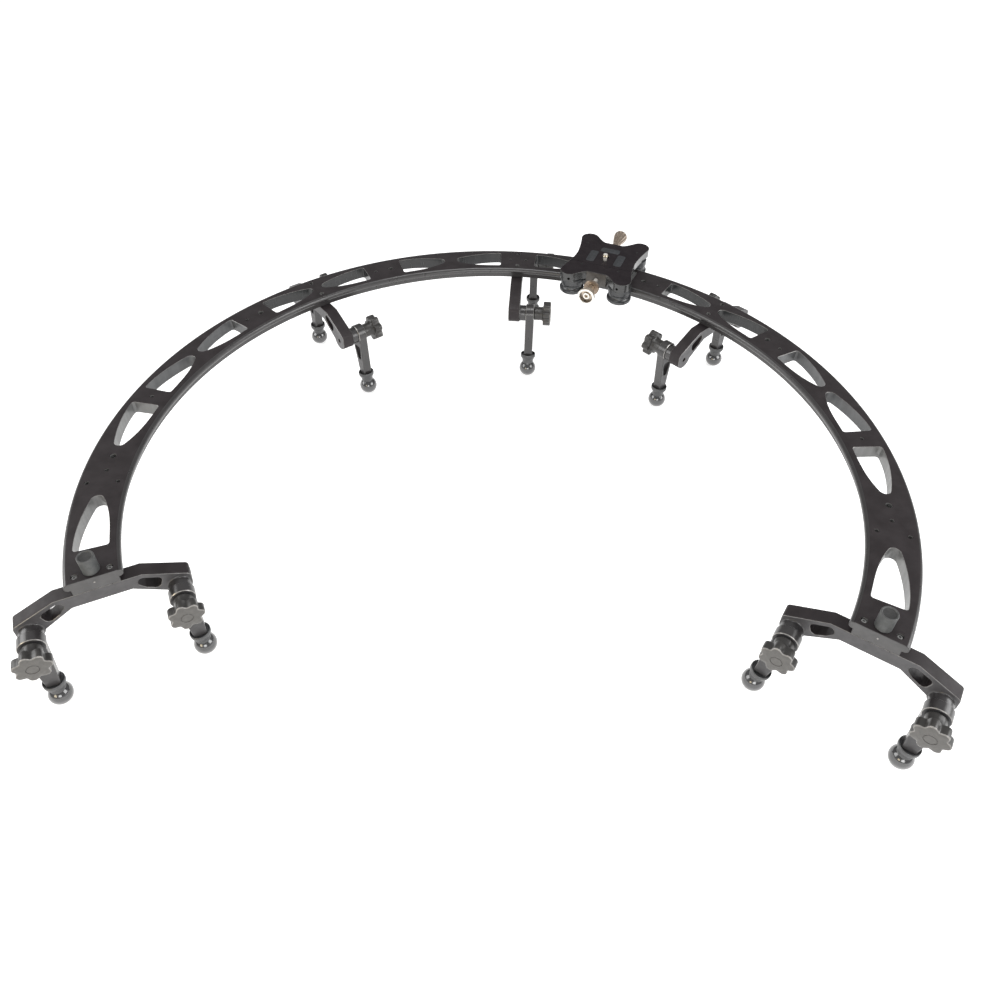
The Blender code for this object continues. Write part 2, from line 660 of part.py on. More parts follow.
def main_plate_mesh():
    """The main plate with the lug for the tension screw, camera slot, pad seats, bores and brake pocket."""
    start = JAW_SPLIT + JAW_GAP / 2
    mesh = plate_half(start, LOBE_V + 2 * LOBE_RADIUS)
    size = (2 * THREAD_LUG_HALF, THREAD_LUG_END - start)
    lug_outline = box_outline((0.0, (start + THREAD_LUG_END) / 2), size)
    mesh = combined(mesh, extruded([lug_outline], THREAD_LUG_LIFT, PLATE_BOTTOM + GAP), "UNION")
    mesh = axle_seats(guide_pin_holes(mesh), "rear")
    slot_half = CAMERA_SCREW_RADIUS + 2 * GAP
    slot = (arc((0, CAMERA_SLOT_HALF - slot_half), slot_half, 0, 180, 6)
            + arc((0, slot_half - CAMERA_SLOT_HALF), slot_half, 180, 360, 6))
    mesh = combined(mesh, extruded([slot], 0.0, 2 * PLATE_TOP), "DIFFERENCE")
    for u, v, width, length in PADS.values():
        outline = box_outline((u, v), (width + 2 * GAP, length + 2 * GAP), PAD_CORNER)
        seat = extruded([outline], PLATE_TOP - PAD_SEAT, 2 * PLATE_TOP)
        mesh = combined(mesh, seat, "DIFFERENCE")
    shaft_hole = level_bore(TENSION_SHAFT_RADIUS + GAP, JAW_SPLIT - PLATE_THICKNESS, TENSION_SHAFT_SEAT + GAP,
                            height=TENSION_LINE)
    mesh = combined(mesh, shaft_hole, "DIFFERENCE")
    pocket = extruded([bore(BRAKE_SHOE_RADIUS + GAP, TINY_SIDES, (0, BRAKE_SHOE_V))], 0.0, BRAKE_POCKET_HEIGHT)
    mesh = combined(mesh, pocket, "DIFFERENCE")
    brake_hole = level_bore(BRAKE_SHAFT_RADIUS + GAP, BRAKE_SHOE_V + BRAKE_SHAFT_RADIUS, 2 * FRONT_HALF)
    return combined(mesh, brake_hole, "DIFFERENCE")


def front_jaw_mesh():
    """The jaw that carries the front wheels, with the block under it."""
    mesh = plate_half(-LOBE_V - 2 * LOBE_RADIUS, JAW_SPLIT - JAW_GAP / 2)
    middle = (0.0, (JAW_BLOCK_FRONT + JAW_BLOCK_BACK) / 2)
    size = (2 * JAW_BLOCK_HALF, JAW_BLOCK_BACK - JAW_BLOCK_FRONT)
    block = extruded([box_outline(middle, size)], JAW_BLOCK_LIFT, PLATE_TOP - JAW_BLOCK_STEP)
    mesh = axle_seats(guide_pin_holes(combined(mesh, block, "UNION")), "front")
    shaft_hole = level_bore(TENSION_SHAFT_RADIUS + GAP, -2 * FRONT_HALF, 0.0, height=TENSION_LINE)
    return combined(mesh, shaft_hole, "DIFFERENCE")


def wheel_groove():
    """Profile of the groove, which follows the rail's rounded edge at the wheel's running gap."""
    axis_to_bead = WHEEL_GROOVE_RADIUS + WHEEL_GAP + BEAD_RADIUS
    hollow = BEAD_RADIUS + WHEEL_GAP
    upper = math.degrees(math.acos((axis_to_bead - WHEEL_RADIUS) / hollow))
    lower = math.degrees(math.acos((axis_to_bead - WHEEL_FLANGE_RADIUS) / hollow))
    points = []
    for k in range(GROOVE_STEPS + 1):
        angle = math.radians(upper - (upper + lower) * k / GROOVE_STEPS)
        points.append((axis_to_bead - hollow * math.cos(angle), hollow * math.sin(angle) - BEAD_RADIUS))
    return points


def wheel_mesh():
    """A grooved wheel with a bore for its axle bolt and a dish for the bolt's head."""
    top = PLATE_BOTTOM - GAP
    hole = AXLE_RADIUS + 1.5 * GAP
    dish_floor = -WHEEL_DEPTH + WHEEL_DISH_DEPTH
    profile = [(hole, top), (WHEEL_RADIUS, top)] + wheel_groove()
    profile += [(WHEEL_FLANGE_RADIUS, -WHEEL_FLANGE_DEPTH), (WHEEL_DISH_RADIUS + WHEEL_DISH_DEPTH, -WHEEL_DEPTH),
                (WHEEL_DISH_RADIUS, -WHEEL_DEPTH), (WHEEL_DISH_RADIUS, dish_floor), (hole, dish_floor)]
    return turned(profile, ROUND_SIDES, ring=True)


def axle_bolt_mesh():
    """An axle bolt: its head in the wheel's dish, its shank up into the plate."""
    head_top = -WHEEL_DEPTH + WHEEL_DISH_DEPTH - GAP
    head_bottom = head_top - AXLE_HEAD_HEIGHT
    shank_top = PLATE_BOTTOM + AXLE_SEAT
    profile = [(0, shank_top), (AXLE_RADIUS, shank_top), (AXLE_RADIUS, head_top),
               (AXLE_HEAD_RADIUS, head_top), (AXLE_HEAD_RADIUS, head_bottom), (0, head_bottom)]
    return turned(profile, SMALL_SIDES)


def camera_screw_mesh():
    """The captive camera screw, its head under the plate."""
    top = PLATE_TOP + CAMERA_SCREW_STAND
    head_top = PLATE_BOTTOM - GAP
    chamfer = CAMERA_SCREW_RADIUS / 5
    profile = [(0, top), (CAMERA_SCREW_RADIUS - chamfer, top), (CAMERA_SCREW_RADIUS, top - chamfer),
               (CAMERA_SCREW_RADIUS, head_top), (CAMERA_SCREW_HEAD_RADIUS, head_top),
               (CAMERA_SCREW_HEAD_RADIUS, head_top - CAMERA_SCREW_HEAD_HEIGHT), (0, head_top - CAMERA_SCREW_HEAD_HEIGHT)]
    return turned(profile, SMALL_SIDES)


def tension_knob_mesh():
    """The tension knob and its shaft; z runs from the jaw's front face towards the arc's centre."""
    neck = TENSION_COLLAR_START + TENSION_COLLAR_THICKNESS + 2 * GAP
    face = neck + TENSION_KNOB_LENGTH
    tip = -(FRONT_HALF + TENSION_SHAFT_SEAT)
    profile = [(0, face - TENSION_FACE_DEPTH), (TENSION_FACE_RING, face - TENSION_FACE_DEPTH),
               (TENSION_FACE_RING, face), (TENSION_FACE_RADIUS, face),
               (TENSION_FACE_RADIUS, face - TENSION_FACE_LENGTH),
               (TENSION_BARREL_RADIUS, neck + TENSION_BARREL_END),
               (TENSION_BARREL_RADIUS, neck + TENSION_BARREL_START),
               (TENSION_NECK_RADIUS, neck + TENSION_NECK_LENGTH), (TENSION_NECK_RADIUS, neck),
               (TENSION_SHAFT_RADIUS, neck), (TENSION_SHAFT_RADIUS, tip), (0, tip)]
    return turned(profile, KNOB_SIDES)


def tension_collar_mesh():
    """The collar on the tension shaft."""
    start = TENSION_COLLAR_START + GAP
    end = start + TENSION_COLLAR_THICKNESS
    hole = TENSION_SHAFT_RADIUS + GAP
    profile = [(hole, end), (TENSION_COLLAR_RADIUS, end), (TENSION_COLLAR_RADIUS, start), (hole, start)]
    return turned(profile, KNOB_SIDES, ring=True)


def brake_knob_mesh():
    """The brake knob and its pointed shaft; z runs outwards from the plate's rear edge."""
    flare = (BRAKE_KNOB_LENGTH - BRAKE_NECK_LENGTH) / 3
    start = GAP
    point = BRAKE_SHOE_V + BRAKE_SHOE_RADIUS + 2 * GAP - FRONT_HALF
    profile = [(0, start + BRAKE_KNOB_LENGTH + BRAKE_DOME),
               (BRAKE_KNOB_RADIUS * BRAKE_DOME_SHARE, start + BRAKE_KNOB_LENGTH + BRAKE_DOME * BRAKE_DOME_SHARE),
               (BRAKE_KNOB_RADIUS, start + BRAKE_KNOB_LENGTH),
               (BRAKE_KNOB_RADIUS, start + BRAKE_KNOB_LENGTH - flare / 3),
               (BRAKE_KNOB_RADIUS * BRAKE_WAIST_SHARE, start + BRAKE_KNOB_LENGTH - flare),
               (BRAKE_NECK_RADIUS, start + BRAKE_NECK_LENGTH), (BRAKE_NECK_RADIUS, start),
               (BRAKE_SHAFT_RADIUS, start), (BRAKE_SHAFT_RADIUS, point + BRAKE_SHAFT_RADIUS), (0, point)]
    return turned(profile, KNOB_SIDES)


def brake_shoe_mesh():
    """The shoe that the brake knob presses onto the rail."""
    edge = BRAKE_SHOE_RADIUS / 4
    profile = [(0, BRAKE_SHOE_TOP), (BRAKE_SHOE_RADIUS - edge, BRAKE_SHOE_TOP),
               (BRAKE_SHOE_RADIUS, BRAKE_SHOE_TOP - edge), (BRAKE_SHOE_RADIUS, GAP), (0, GAP)]
    return turned(profile, SMALL_SIDES)


def guide_pin_mesh():
    """A guide pin, centred on its length."""
    return extruded([circle(GUIDE_PIN_RADIUS, SMALL_SIDES)], -GUIDE_PIN_LENGTH / 2, GUIDE_PIN_LENGTH / 2)


def add_rail(centre, finishes):
    """The rail and its two end bumpers."""
    part("curved_rail", rail_mesh(), finishes["black_anodised"], centre)
    mesh = bumper_mesh()
    for name, side in (("left", 1), ("right", -1)):
        place = along_rail(side * (RAIL_HALF_SPAN - BUMPER_INSET)) @ Matrix.Translation((RAIL_MIDDLE_RADIUS, 0, 0))
        part("end_bumper_" + name, mesh, finishes["rubber"], centre, place)


def add_leg(name, side, tilt, direction, bracket, meshes, finishes):
    """One leg with its clamp knob and ball foot, on the pivot at the bracket's inner or outer end."""
    pivot = empty("pivot_" + name, bracket, Matrix.Translation((side * PIVOT_HALF * direction, -PIVOT_DEPTH, 0)))
    part("clamp_knob_" + name, meshes["clamp_knob"], finishes["black_plastic"], pivot)
    swing = Matrix.Rotation(math.radians(tilt * direction), 4, "Z")
    leg = part("leg_" + name, meshes["leg"], finishes["black_anodised"], pivot, swing)
    reach = BALL_DROP / math.cos(math.radians(tilt))
    foot = Matrix.Translation((0, -reach, LEG_START + LEG_THICKNESS / 2)) @ Matrix.Rotation(
        math.radians(-90), 4, "X")
    part("ball_foot_" + name, meshes["ball_foot"], finishes["gloss_rubber"], leg, foot)


def add_brackets(centre, finishes):
    """The brackets, each with an inner and an outer leg."""
    meshes = {"clamp_knob": clamp_knob_mesh(), "leg": leg_mesh(), "ball_foot": ball_foot_mesh()}
    bracket = bracket_mesh()
    for name, angle, face, direction, inner_tilt, outer_tilt in BRACKETS:
        facing = Matrix.Rotation(math.radians(90), 4, "X") @ Matrix.Rotation(
            math.radians(90 + 90 * direction), 4, "Y")
        place = along_rail(angle) @ Matrix.Translation((RAIL_MIDDLE_RADIUS, face, 0)) @ facing
        frame = empty("bracket_frame_" + name, centre, place)
        part("bracket_" + name, bracket, finishes["black_anodised"], frame, Matrix.Translation((0, -GAP, 0)))
        add_leg(name + "_inner", -1, inner_tilt, -direction, frame, meshes, finishes)
        add_leg(name + "_outer", 1, outer_tilt, -direction, frame, meshes, finishes)


def add_wheels(carriage, finishes):
    """Four wheels on their axle bolts."""
    wheel = wheel_mesh()
    bolt = axle_bolt_mesh()
    for name, (u, v) in wheel_places().items():
        place = Matrix.Translation((u, v, 0))
        part("wheel_" + name, wheel, finishes["black_plastic"], carriage, place)
        part("axle_bolt_" + name, bolt, finishes["steel"], carriage, place)


def add_carriage(centre, finishes):
    """The rolling carriage; its frame has x = u, y = v, z up, 0 over the middle of the rail."""
    turn = Matrix.Rotation(math.radians(-90), 4, "Z")
    place = along_rail(CARRIAGE_ANGLE) @ Matrix.Translation((RAIL_MIDDLE_RADIUS, 0, 0)) @ turn
    carriage = empty("carriage_frame", centre, place)
    part("main_plate", main_plate_mesh(), finishes["black_anodised"], carriage)
    part("front_jaw", front_jaw_mesh(), finishes["black_anodised"], carriage)
    backward = Matrix.Rotation(math.radians(-90), 4, "X")
    forward = Matrix.Rotation(math.radians(90), 4, "X")
    pin = guide_pin_mesh()
    for name, side in (("left", -1), ("right", 1)):
        pin_place = Matrix.Translation((side * GUIDE_PIN_U, JAW_SPLIT, SCREW_LINE)) @ backward
        part("guide_pin_" + name, pin, finishes["steel"], carriage, pin_place)
    for name, (u, v, width, length) in PADS.items():
        outline = box_outline((u, v), (width, length), PAD_CORNER)
        low = PLATE_TOP - PAD_SEAT + GAP
        part(name, extruded([outline], low, low + PAD_THICKNESS), finishes["rubber"], carriage)
    add_wheels(carriage, finishes)
    screw_place = Matrix.Translation((0, CAMERA_SCREW_V, 0))
    part("camera_screw", camera_screw_mesh(), finishes["steel"], carriage, screw_place)
    front = Matrix.Translation((0, -FRONT_HALF, TENSION_LINE)) @ forward
    part("tension_knob", tension_knob_mesh(), finishes["champagne"], carriage, front)
    part("tension_collar", tension_collar_mesh(), finishes["bronze"], carriage, front)
    rear = Matrix.Translation((0, FRONT_HALF, SCREW_LINE)) @ backward
    part("brake_knob", brake_knob_mesh(), finishes["bronze"], carriage, rear)
    part("brake_shoe", brake_shoe_mesh(), finishes["steel"], carriage, Matrix.Translation((0, BRAKE_SHOE_V, 0)))


def stand_on_floor(centre):
    """Moves the object so that its box is centred on x and y and stands on z = 0."""
    bpy.context.view_layer.update()
    corners = []
    for obj in bpy.data.collections["circular_camera_slider"].objects:
        if obj.type == "MESH":
            corners += [obj.matrix_world @ vertex.co for vertex in obj.data.vertices]
    low = [min(corner[axis] for corner in corners) for axis in range(3)]
    high = [max(corner[axis] for corner in corners) for axis in range(3)]
    centre.location = (-(low[0] + high[0]) / 2, -(low[1] + high[1]) / 2, -low[2])
    bpy.context.view_layer.update()


def main():
    """Builds the whole slider."""
    for obj in list(bpy.data.objects):
        bpy.data.objects.remove(obj)
    for name in ("circular_camera_slider", "cutters"):
        bpy.context.scene.collection.children.link(bpy.data.collections.new(name))
    finishes = {
        "black_anodised": material("black_anodised", (0.035, 0.032, 0.034), 0.42, 0.6),
        "black_plastic": material("black_plastic", (0.03, 0.028, 0.03), 0.45, 0.0),
        "gloss_rubber": material("gloss_rubber", (0.02, 0.019, 0.02), 0.2, 0.0),
        "rubber": material("rubber", (0.06, 0.058, 0.058), 0.7, 0.0),
        "steel": material("steel", (0.6, 0.6, 0.6), 0.3, 1.0),
        "champagne": material("champagne", (0.55, 0.47, 0.38), 0.3, 1.0),
        "bronze": material("bronze", (0.36, 0.27, 0.2), 0.35, 1.0),
    }
    centre = empty("arc_centre", None, Matrix.Identity(4))
    add_rail(centre, finishes)
    add_brackets(centre, finishes)
    add_carriage(centre, finishes)
    stand_on_floor(centre)


main()
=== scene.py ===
"""Looks of the circular camera slider: fine meshes, procedural finishes, floor, light and camera.

Everything is in metres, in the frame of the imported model. Heights in the constants are measured from
the top of the rail, radii from the centre of the arc, and angles in degrees from the rail's middle at
the back, but for END_FACE_TURN, which is in radians.
"""
import json
import math

import bpy
import bmesh
from mathutils import Matrix, Vector


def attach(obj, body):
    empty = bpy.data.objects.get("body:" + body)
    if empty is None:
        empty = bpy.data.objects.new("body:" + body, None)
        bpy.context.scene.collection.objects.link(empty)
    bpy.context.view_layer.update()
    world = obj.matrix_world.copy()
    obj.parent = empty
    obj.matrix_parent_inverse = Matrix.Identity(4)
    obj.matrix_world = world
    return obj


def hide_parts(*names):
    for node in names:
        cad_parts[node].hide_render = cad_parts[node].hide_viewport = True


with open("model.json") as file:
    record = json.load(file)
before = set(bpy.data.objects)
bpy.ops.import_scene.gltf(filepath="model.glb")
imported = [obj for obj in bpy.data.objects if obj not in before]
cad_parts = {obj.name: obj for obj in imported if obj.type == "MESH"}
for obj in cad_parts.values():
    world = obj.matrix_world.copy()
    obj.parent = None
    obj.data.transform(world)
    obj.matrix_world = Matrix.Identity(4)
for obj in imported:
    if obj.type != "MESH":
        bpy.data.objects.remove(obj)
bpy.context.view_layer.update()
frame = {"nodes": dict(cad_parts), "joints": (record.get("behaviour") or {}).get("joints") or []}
JOINTS = {joint["name"]: joint for joint in frame["joints"]}

# Rail
RAIL_OUTER_RADIUS = 0.610
RAIL_INNER_RADIUS = 0.536
RAIL_HALF_SPAN = 119.2
RAIL_STEPS = 238
FLANGE_HEIGHT = 0.0124
NECK_INSET = 0.007
NECK_DEPTH = 0.0096
BEAD_STEPS = 12
END_CHAMFER = 0.0005
END_PIN_RADIUS = 0.0012
WINDOWS = ((3.5, 12.35), (23.7, 14.9), (30.8, 40.2), (51.75, 42.3),
           (58.6, 68.3), (79.7, 69.9), (83.35, 93.3), (113.8, 103.8))
WINDOW_HALF_WIDTH = 0.0232
WINDOW_CORNER = 0.004
WINDOW_TIP_RADIUS = 0.009
WINDOW_TIP_START = 20.0
WINDOW_OUTER_POWER = 1.7
WINDOW_INNER_POWER = 3.0
WINDOW_SIDE_STEPS = 18
WINDOW_CHAMFER = 0.0005
BOLT_SPACING = 0.044
BOLT_HOLE_RADIUS = 0.0042
BOLT_HEAD_RADIUS = 0.0035
BOLT_SINK = 0.0022
SPARE_BOLT_ANGLE = 101.1
SMALL_HOLE_RADIUS = 0.003
SMALL_HOLES = (98.6, 81.4, 56.8, 29.0)
LARGE_HOLE_RADIUS = 0.0048
LARGE_HOLES = (95.6, 53.7, 25.9)
CENTRE_HOLE_ANGLE = 1.55
HOLE_CHAMFER = 0.0004
MIDDLE_BRACKET_ANGLE = 41.5
# The walls of the rail's windows are painted dark, as shade, up to FRONT_WINDOWS_END degrees from the middle,
# half light up to SIDE_WINDOWS_END, and light beyond
FRONT_WINDOWS_END = 55.0
SIDE_WINDOWS_END = 81.0
END_FACE_TURN = 2.075  # beyond it, a face that looks along the rail is one of the rail's end faces

# Bumpers
BUMPER_RADIUS = 0.011
BUMPER_HEIGHT = 0.028
BUMPER_INSET = 1.4
BUMPER_DISH_RADIUS = 0.0078
BUMPER_DISH_DEPTH = 0.0014
BUMPER_LIP_RADIUS = 0.0084

# Brackets
BRACKET_THICKNESS = 0.022
BRACKET_FLAT_HALF = 0.055
BRACKET_ARCH_HALF = 0.038
BRACKET_DEPTH = 0.022
PIVOT_HALF = 0.0949
PIVOT_DEPTH = 0.0637
ARM_END_RADIUS = 0.0175
ARM_CORNER_RISE = 0.0157
ARM_CORNER_RADIUS = 0.007
ARM_HEEL_ANGLE = -166.0
ARM_WALL_TOP = 0.0068
ARM_WALL_BOTTOM = 0.0046
ARM_WINDOW_TIP = (0.0055, 0.0085)
ARM_WINDOW_START = 0.0025
ARM_WINDOW_HEEL = 0.017
ARM_WINDOW_END = 0.0020
ARM_WINDOW_CORNER = 0.0066
EDGE_CHAMFER = 0.0006
BOSS_RADIUS = 0.0152
BOSS_LENGTH = 0.012
STUD_RADIUS = 0.004

# Legs, knobs and feet
LEG_START = 0.0123
LEG_THICKNESS = 0.016
LEG_HEAD_RADIUS = 0.0175
LEG_SHOULDER_ANGLE = 30.0
LEG_END_WIDTH = 0.018
LEG_LENGTH = 0.0879
LEG_SLOT_TOP = 0.025
LEG_SLOT_BOTTOM = 0.055
LEG_SLOT_WIDTH = 0.009
LEG_SLOT_TOP_WIDTH = 0.022
LEG_SLOT_CORNER = 0.0044
LEG_CHAMFER = 0.0009
KNOB_START = 0.0286
KNOB_HUB_RADIUS = 0.0132
KNOB_HUB_LENGTH = 0.018
KNOB_FLARE_RADIUS = 0.0158
KNOB_FLARE_LENGTH = 0.004
KNOB_RADIUS = 0.024
KNOB_LOBE_DEPTH = 0.005
KNOB_LOBES = 7
KNOB_THICKNESS = 0.0155
KNOB_EDGE = 0.0014
KNOB_DOME = 0.0009
KNOB_NOTCH_POWER = 1.35
KNOB_FLUTE = 0.0004
KNOB_STUD_LENGTH = 0.034
KNOB_FACE_RADIUS = 0.0078
BALL_RADIUS = 0.0165
BALL_DROP = 0.1167
FOOT_NECK_RADIUS = 0.0107
FOOT_CUP_RADIUS = 0.01475
FOOT_CUP_BOTTOM = 0.025
FOOT_CUP_TOP = 0.032
FOOT_CUP_FLOOR = 0.0285
FOOT_CUP_WALL = 0.002
FOOT_FLARE_POWER = 2.2
FOOT_STEM_RADIUS = 0.005
FOOT_STEM_LENGTH = 0.020

# Carriage: u to the right along the rail, v away from the arc's centre
CARRIAGE_ANGLE = -17.65
PLATE_BOTTOM = 0.012
PLATE_THICKNESS = 0.0165
LOBE_U = 0.052
LOBE_V = 0.067
LOBE_RADIUS = 0.018
WAIST_HALF = 0.059
WAIST_POWER = 1.6
WAIST_LOBE_ANGLE = -15.0
FRONT_HALF = 0.060
FRONT_FLAT_HALF = 0.018
FRONT_POWER = 1.3
FRONT_LOBE_ANGLE = 140.0
PLATE_CHAMFER = 0.0006
JAW_SPLIT = -0.0295
JAW_GAP = 0.0006
JAW_BLOCK_HALF = 0.0205
JAW_BLOCK_FRONT = -0.0605
JAW_BLOCK_BACK = -0.042
JAW_BLOCK_LIFT = 0.001
JAW_BLOCK_STEP = 0.001
THREAD_LUG_HALF = 0.010
THREAD_LUG_END = -0.0155
THREAD_LUG_LIFT = 0.004
SCREW_LINE = 0.0195
PADS = {"grip_pad_left": (-0.027, -0.001, 0.016, 0.042),
        "grip_pad_right": (0.028, -0.001, 0.016, 0.042),
        "grip_pad_rear": (0.001, 0.030, 0.038, 0.016)}
PAD_THICKNESS = 0.0015
PAD_SEAT = 0.001
PAD_CORNER = 0.0045
CAMERA_SCREW_RADIUS = 0.00476
CAMERA_SCREW_STAND = 0.011
CAMERA_THREAD_PITCH = 0.0016
CAMERA_NECK_RADIUS = 0.0038
CAMERA_NECK_TOP = 0.0055
CAMERA_HEAD_RADIUS = 0.009
CAMERA_HEAD_HEIGHT = 0.008
CAMERA_SLOT_HALF = 0.012
CAMERA_SCREW_V = -0.004
PLATE_SCREWS = ((0.051, 0.046), (-0.051, 0.046), (0.037, -0.038), (-0.037, -0.038), (0.020, 0.055))
PLATE_SCREW_RADIUS = 0.0022
SET_SCREW_RADIUS = 0.0026
SET_SCREW_U = 0.048
SET_SCREW_RISE = 0.006
WHEEL_U = 0.048
WHEEL_GROOVE_RADIUS = 0.019
WHEEL_GAP = 0.0004
WHEEL_RADIUS = 0.022
WHEEL_FLANGE_RADIUS = 0.0235
WHEEL_FLANGE_DEPTH = 0.0176
WHEEL_DEPTH = 0.0214
WHEEL_DISH_RADIUS = 0.0125
WHEEL_DISH_DEPTH = 0.0045
WHEEL_TOP_GAP = 0.0010
AXLE_HOLE_RADIUS = 0.0034
TENSION_LINE = 0.013
TENSION_SHAFT_RADIUS = 0.004
TENSION_SHAFT_TIP = -0.0415
TENSION_COLLAR_START = 0.0263
TENSION_COLLAR_THICKNESS = 0.006
TENSION_COLLAR_RADIUS = 0.0148
TENSION_KNOB_START = 0.0326
TENSION_KNOB_LENGTH = 0.033
TENSION_NECK_LENGTH = 0.007
TENSION_NECK_RADIUS = 0.0075
TENSION_BARREL_START = 0.015
TENSION_BARREL_END = 0.0245
TENSION_BARREL_RADIUS = 0.0118
TENSION_FACE_RADIUS = 0.0165
TENSION_FACE_LENGTH = 0.0055
TENSION_FACE_RING = 0.0124
TENSION_FACE_DEPTH = 0.008
TENSION_BOSS_RADIUS = 0.0066
TENSION_SOCKET_RADIUS = 0.0034
TENSION_FLUTES = 30
BRAKE_NECK_RADIUS = 0.0065
BRAKE_NECK_LENGTH = 0.016
BRAKE_KNOB_LENGTH = 0.051
BRAKE_KNOB_RADIUS = 0.0135
BRAKE_DOME = 0.004
BRAKE_FLUTES = 10
BRAKE_FLUTE_DEPTH = 0.0016
BRAKE_SHAFT_RADIUS = 0.003
BRAKE_SHAFT_TIP = -0.0269

GAP = 0.0003
ROUND_SIDES = 64
HOLE_SIDES = 24
WELD = 0.000005
ENDS = (("left", 1), ("right", -1))

# What a face's normal tells: the height below which it is a wall, the two heights between which it is a
# chamfer, the height above which the rail counts as level, and the share below which it looks along the rail
UPRIGHT = 0.2
SLOPED = 0.3
LEVEL = 0.95
RAIL_LEVEL = 0.97
ALONG = 0.05
SHARP_ANGLE = 28.0

RAIL_MIDDLE_RADIUS = (RAIL_OUTER_RADIUS + RAIL_INNER_RADIUS) / 2
BEAD_RADIUS = FLANGE_HEIGHT / 2
RAIL_BOTTOM = -(FLANGE_HEIGHT + NECK_DEPTH)
PLATE_TOP = PLATE_BOTTOM + PLATE_THICKNESS
ARC_CENTRE = Vector(JOINTS["carriage_travel"]["pos_m"])

# Brackets: name, angle, place of the leg face along the rail, side that the legs point to,
# tilt of the inner and the outer leg away from the arc's centre, in degrees
BRACKETS = (
    ("left", RAIL_HALF_SPAN, 0.0, 1, -2.6, 1.0),
    ("mid_left", MIDDLE_BRACKET_ANGLE, -BRACKET_THICKNESS / 2, -1, -7.2, 1.5),
    ("centre", 0.0, -BRACKET_THICKNESS / 2, -1, -11.7, 1.0),
    ("mid_right", -MIDDLE_BRACKET_ANGLE, BRACKET_THICKNESS / 2, 1, -1.2, 0.3),
    ("right", -RAIL_HALF_SPAN, 0.0, -1, -9.8, -2.7),
)

# Camera of the photograph: focal length and centre in pixels of a frame 1000 wide, angles in degrees,
# place relative to the arc's centre at the rail's top
FRAME_WIDTH = 1000.0
FOCAL_PIXELS = 826.4056
VIEW_CENTRE = (498.5471, 433.9530)
VIEW_PITCH = 42.1765
VIEW_YAW = 4.0496
VIEW_ROLL = 0.7541
VIEW_PLACE = (0.0696, -0.9049, 0.8626)
SENSOR = 36.0

# Light and floor; a lamp's row says name, place, target, size, power and colour. The lamps at both sides
# and overhead are large, and two smaller ones stand low in front, of which the left one is warm
WHITE = (1.0, 1.0, 1.0, 1.0)
WORLD_STRENGTH = 0.50
WORLD_SHINE = 0.42
FLOOR_GLOW = 0.60
FLOOR_SIZE = 12.0
FLOOR_DROP = 0.0002
FLOOR_COLOUR = (0.82, 0.82, 0.82, 1.0)
LAMPS = (
    ("left", (-2.1, -0.3, 1.2), (0, 0, 0.1), (1.4, 1.4), 26.0, (1.0, 1.0, 1.0)),
    ("right", (2.1, -0.5, 1.2), (0, 0, 0.1), (1.4, 1.4), 34.0, (1.0, 1.0, 1.0)),
    ("overhead", (0.0, 0.1, 2.6), (0, 0.1, 0.1), (1.0, 0.8), 17.0, (1.0, 1.0, 1.0)),
    ("front_left", (-1.0, -2.1, 0.7), (0, 0, 0.1), (0.7, 0.6), 9.0, (1.0, 0.86, 0.62)),
    ("front_right", (0.3, -2.2, 0.7), (0, 0, 0.1), (0.9, 0.7), 14.0, (1.0, 1.0, 1.0)),
)

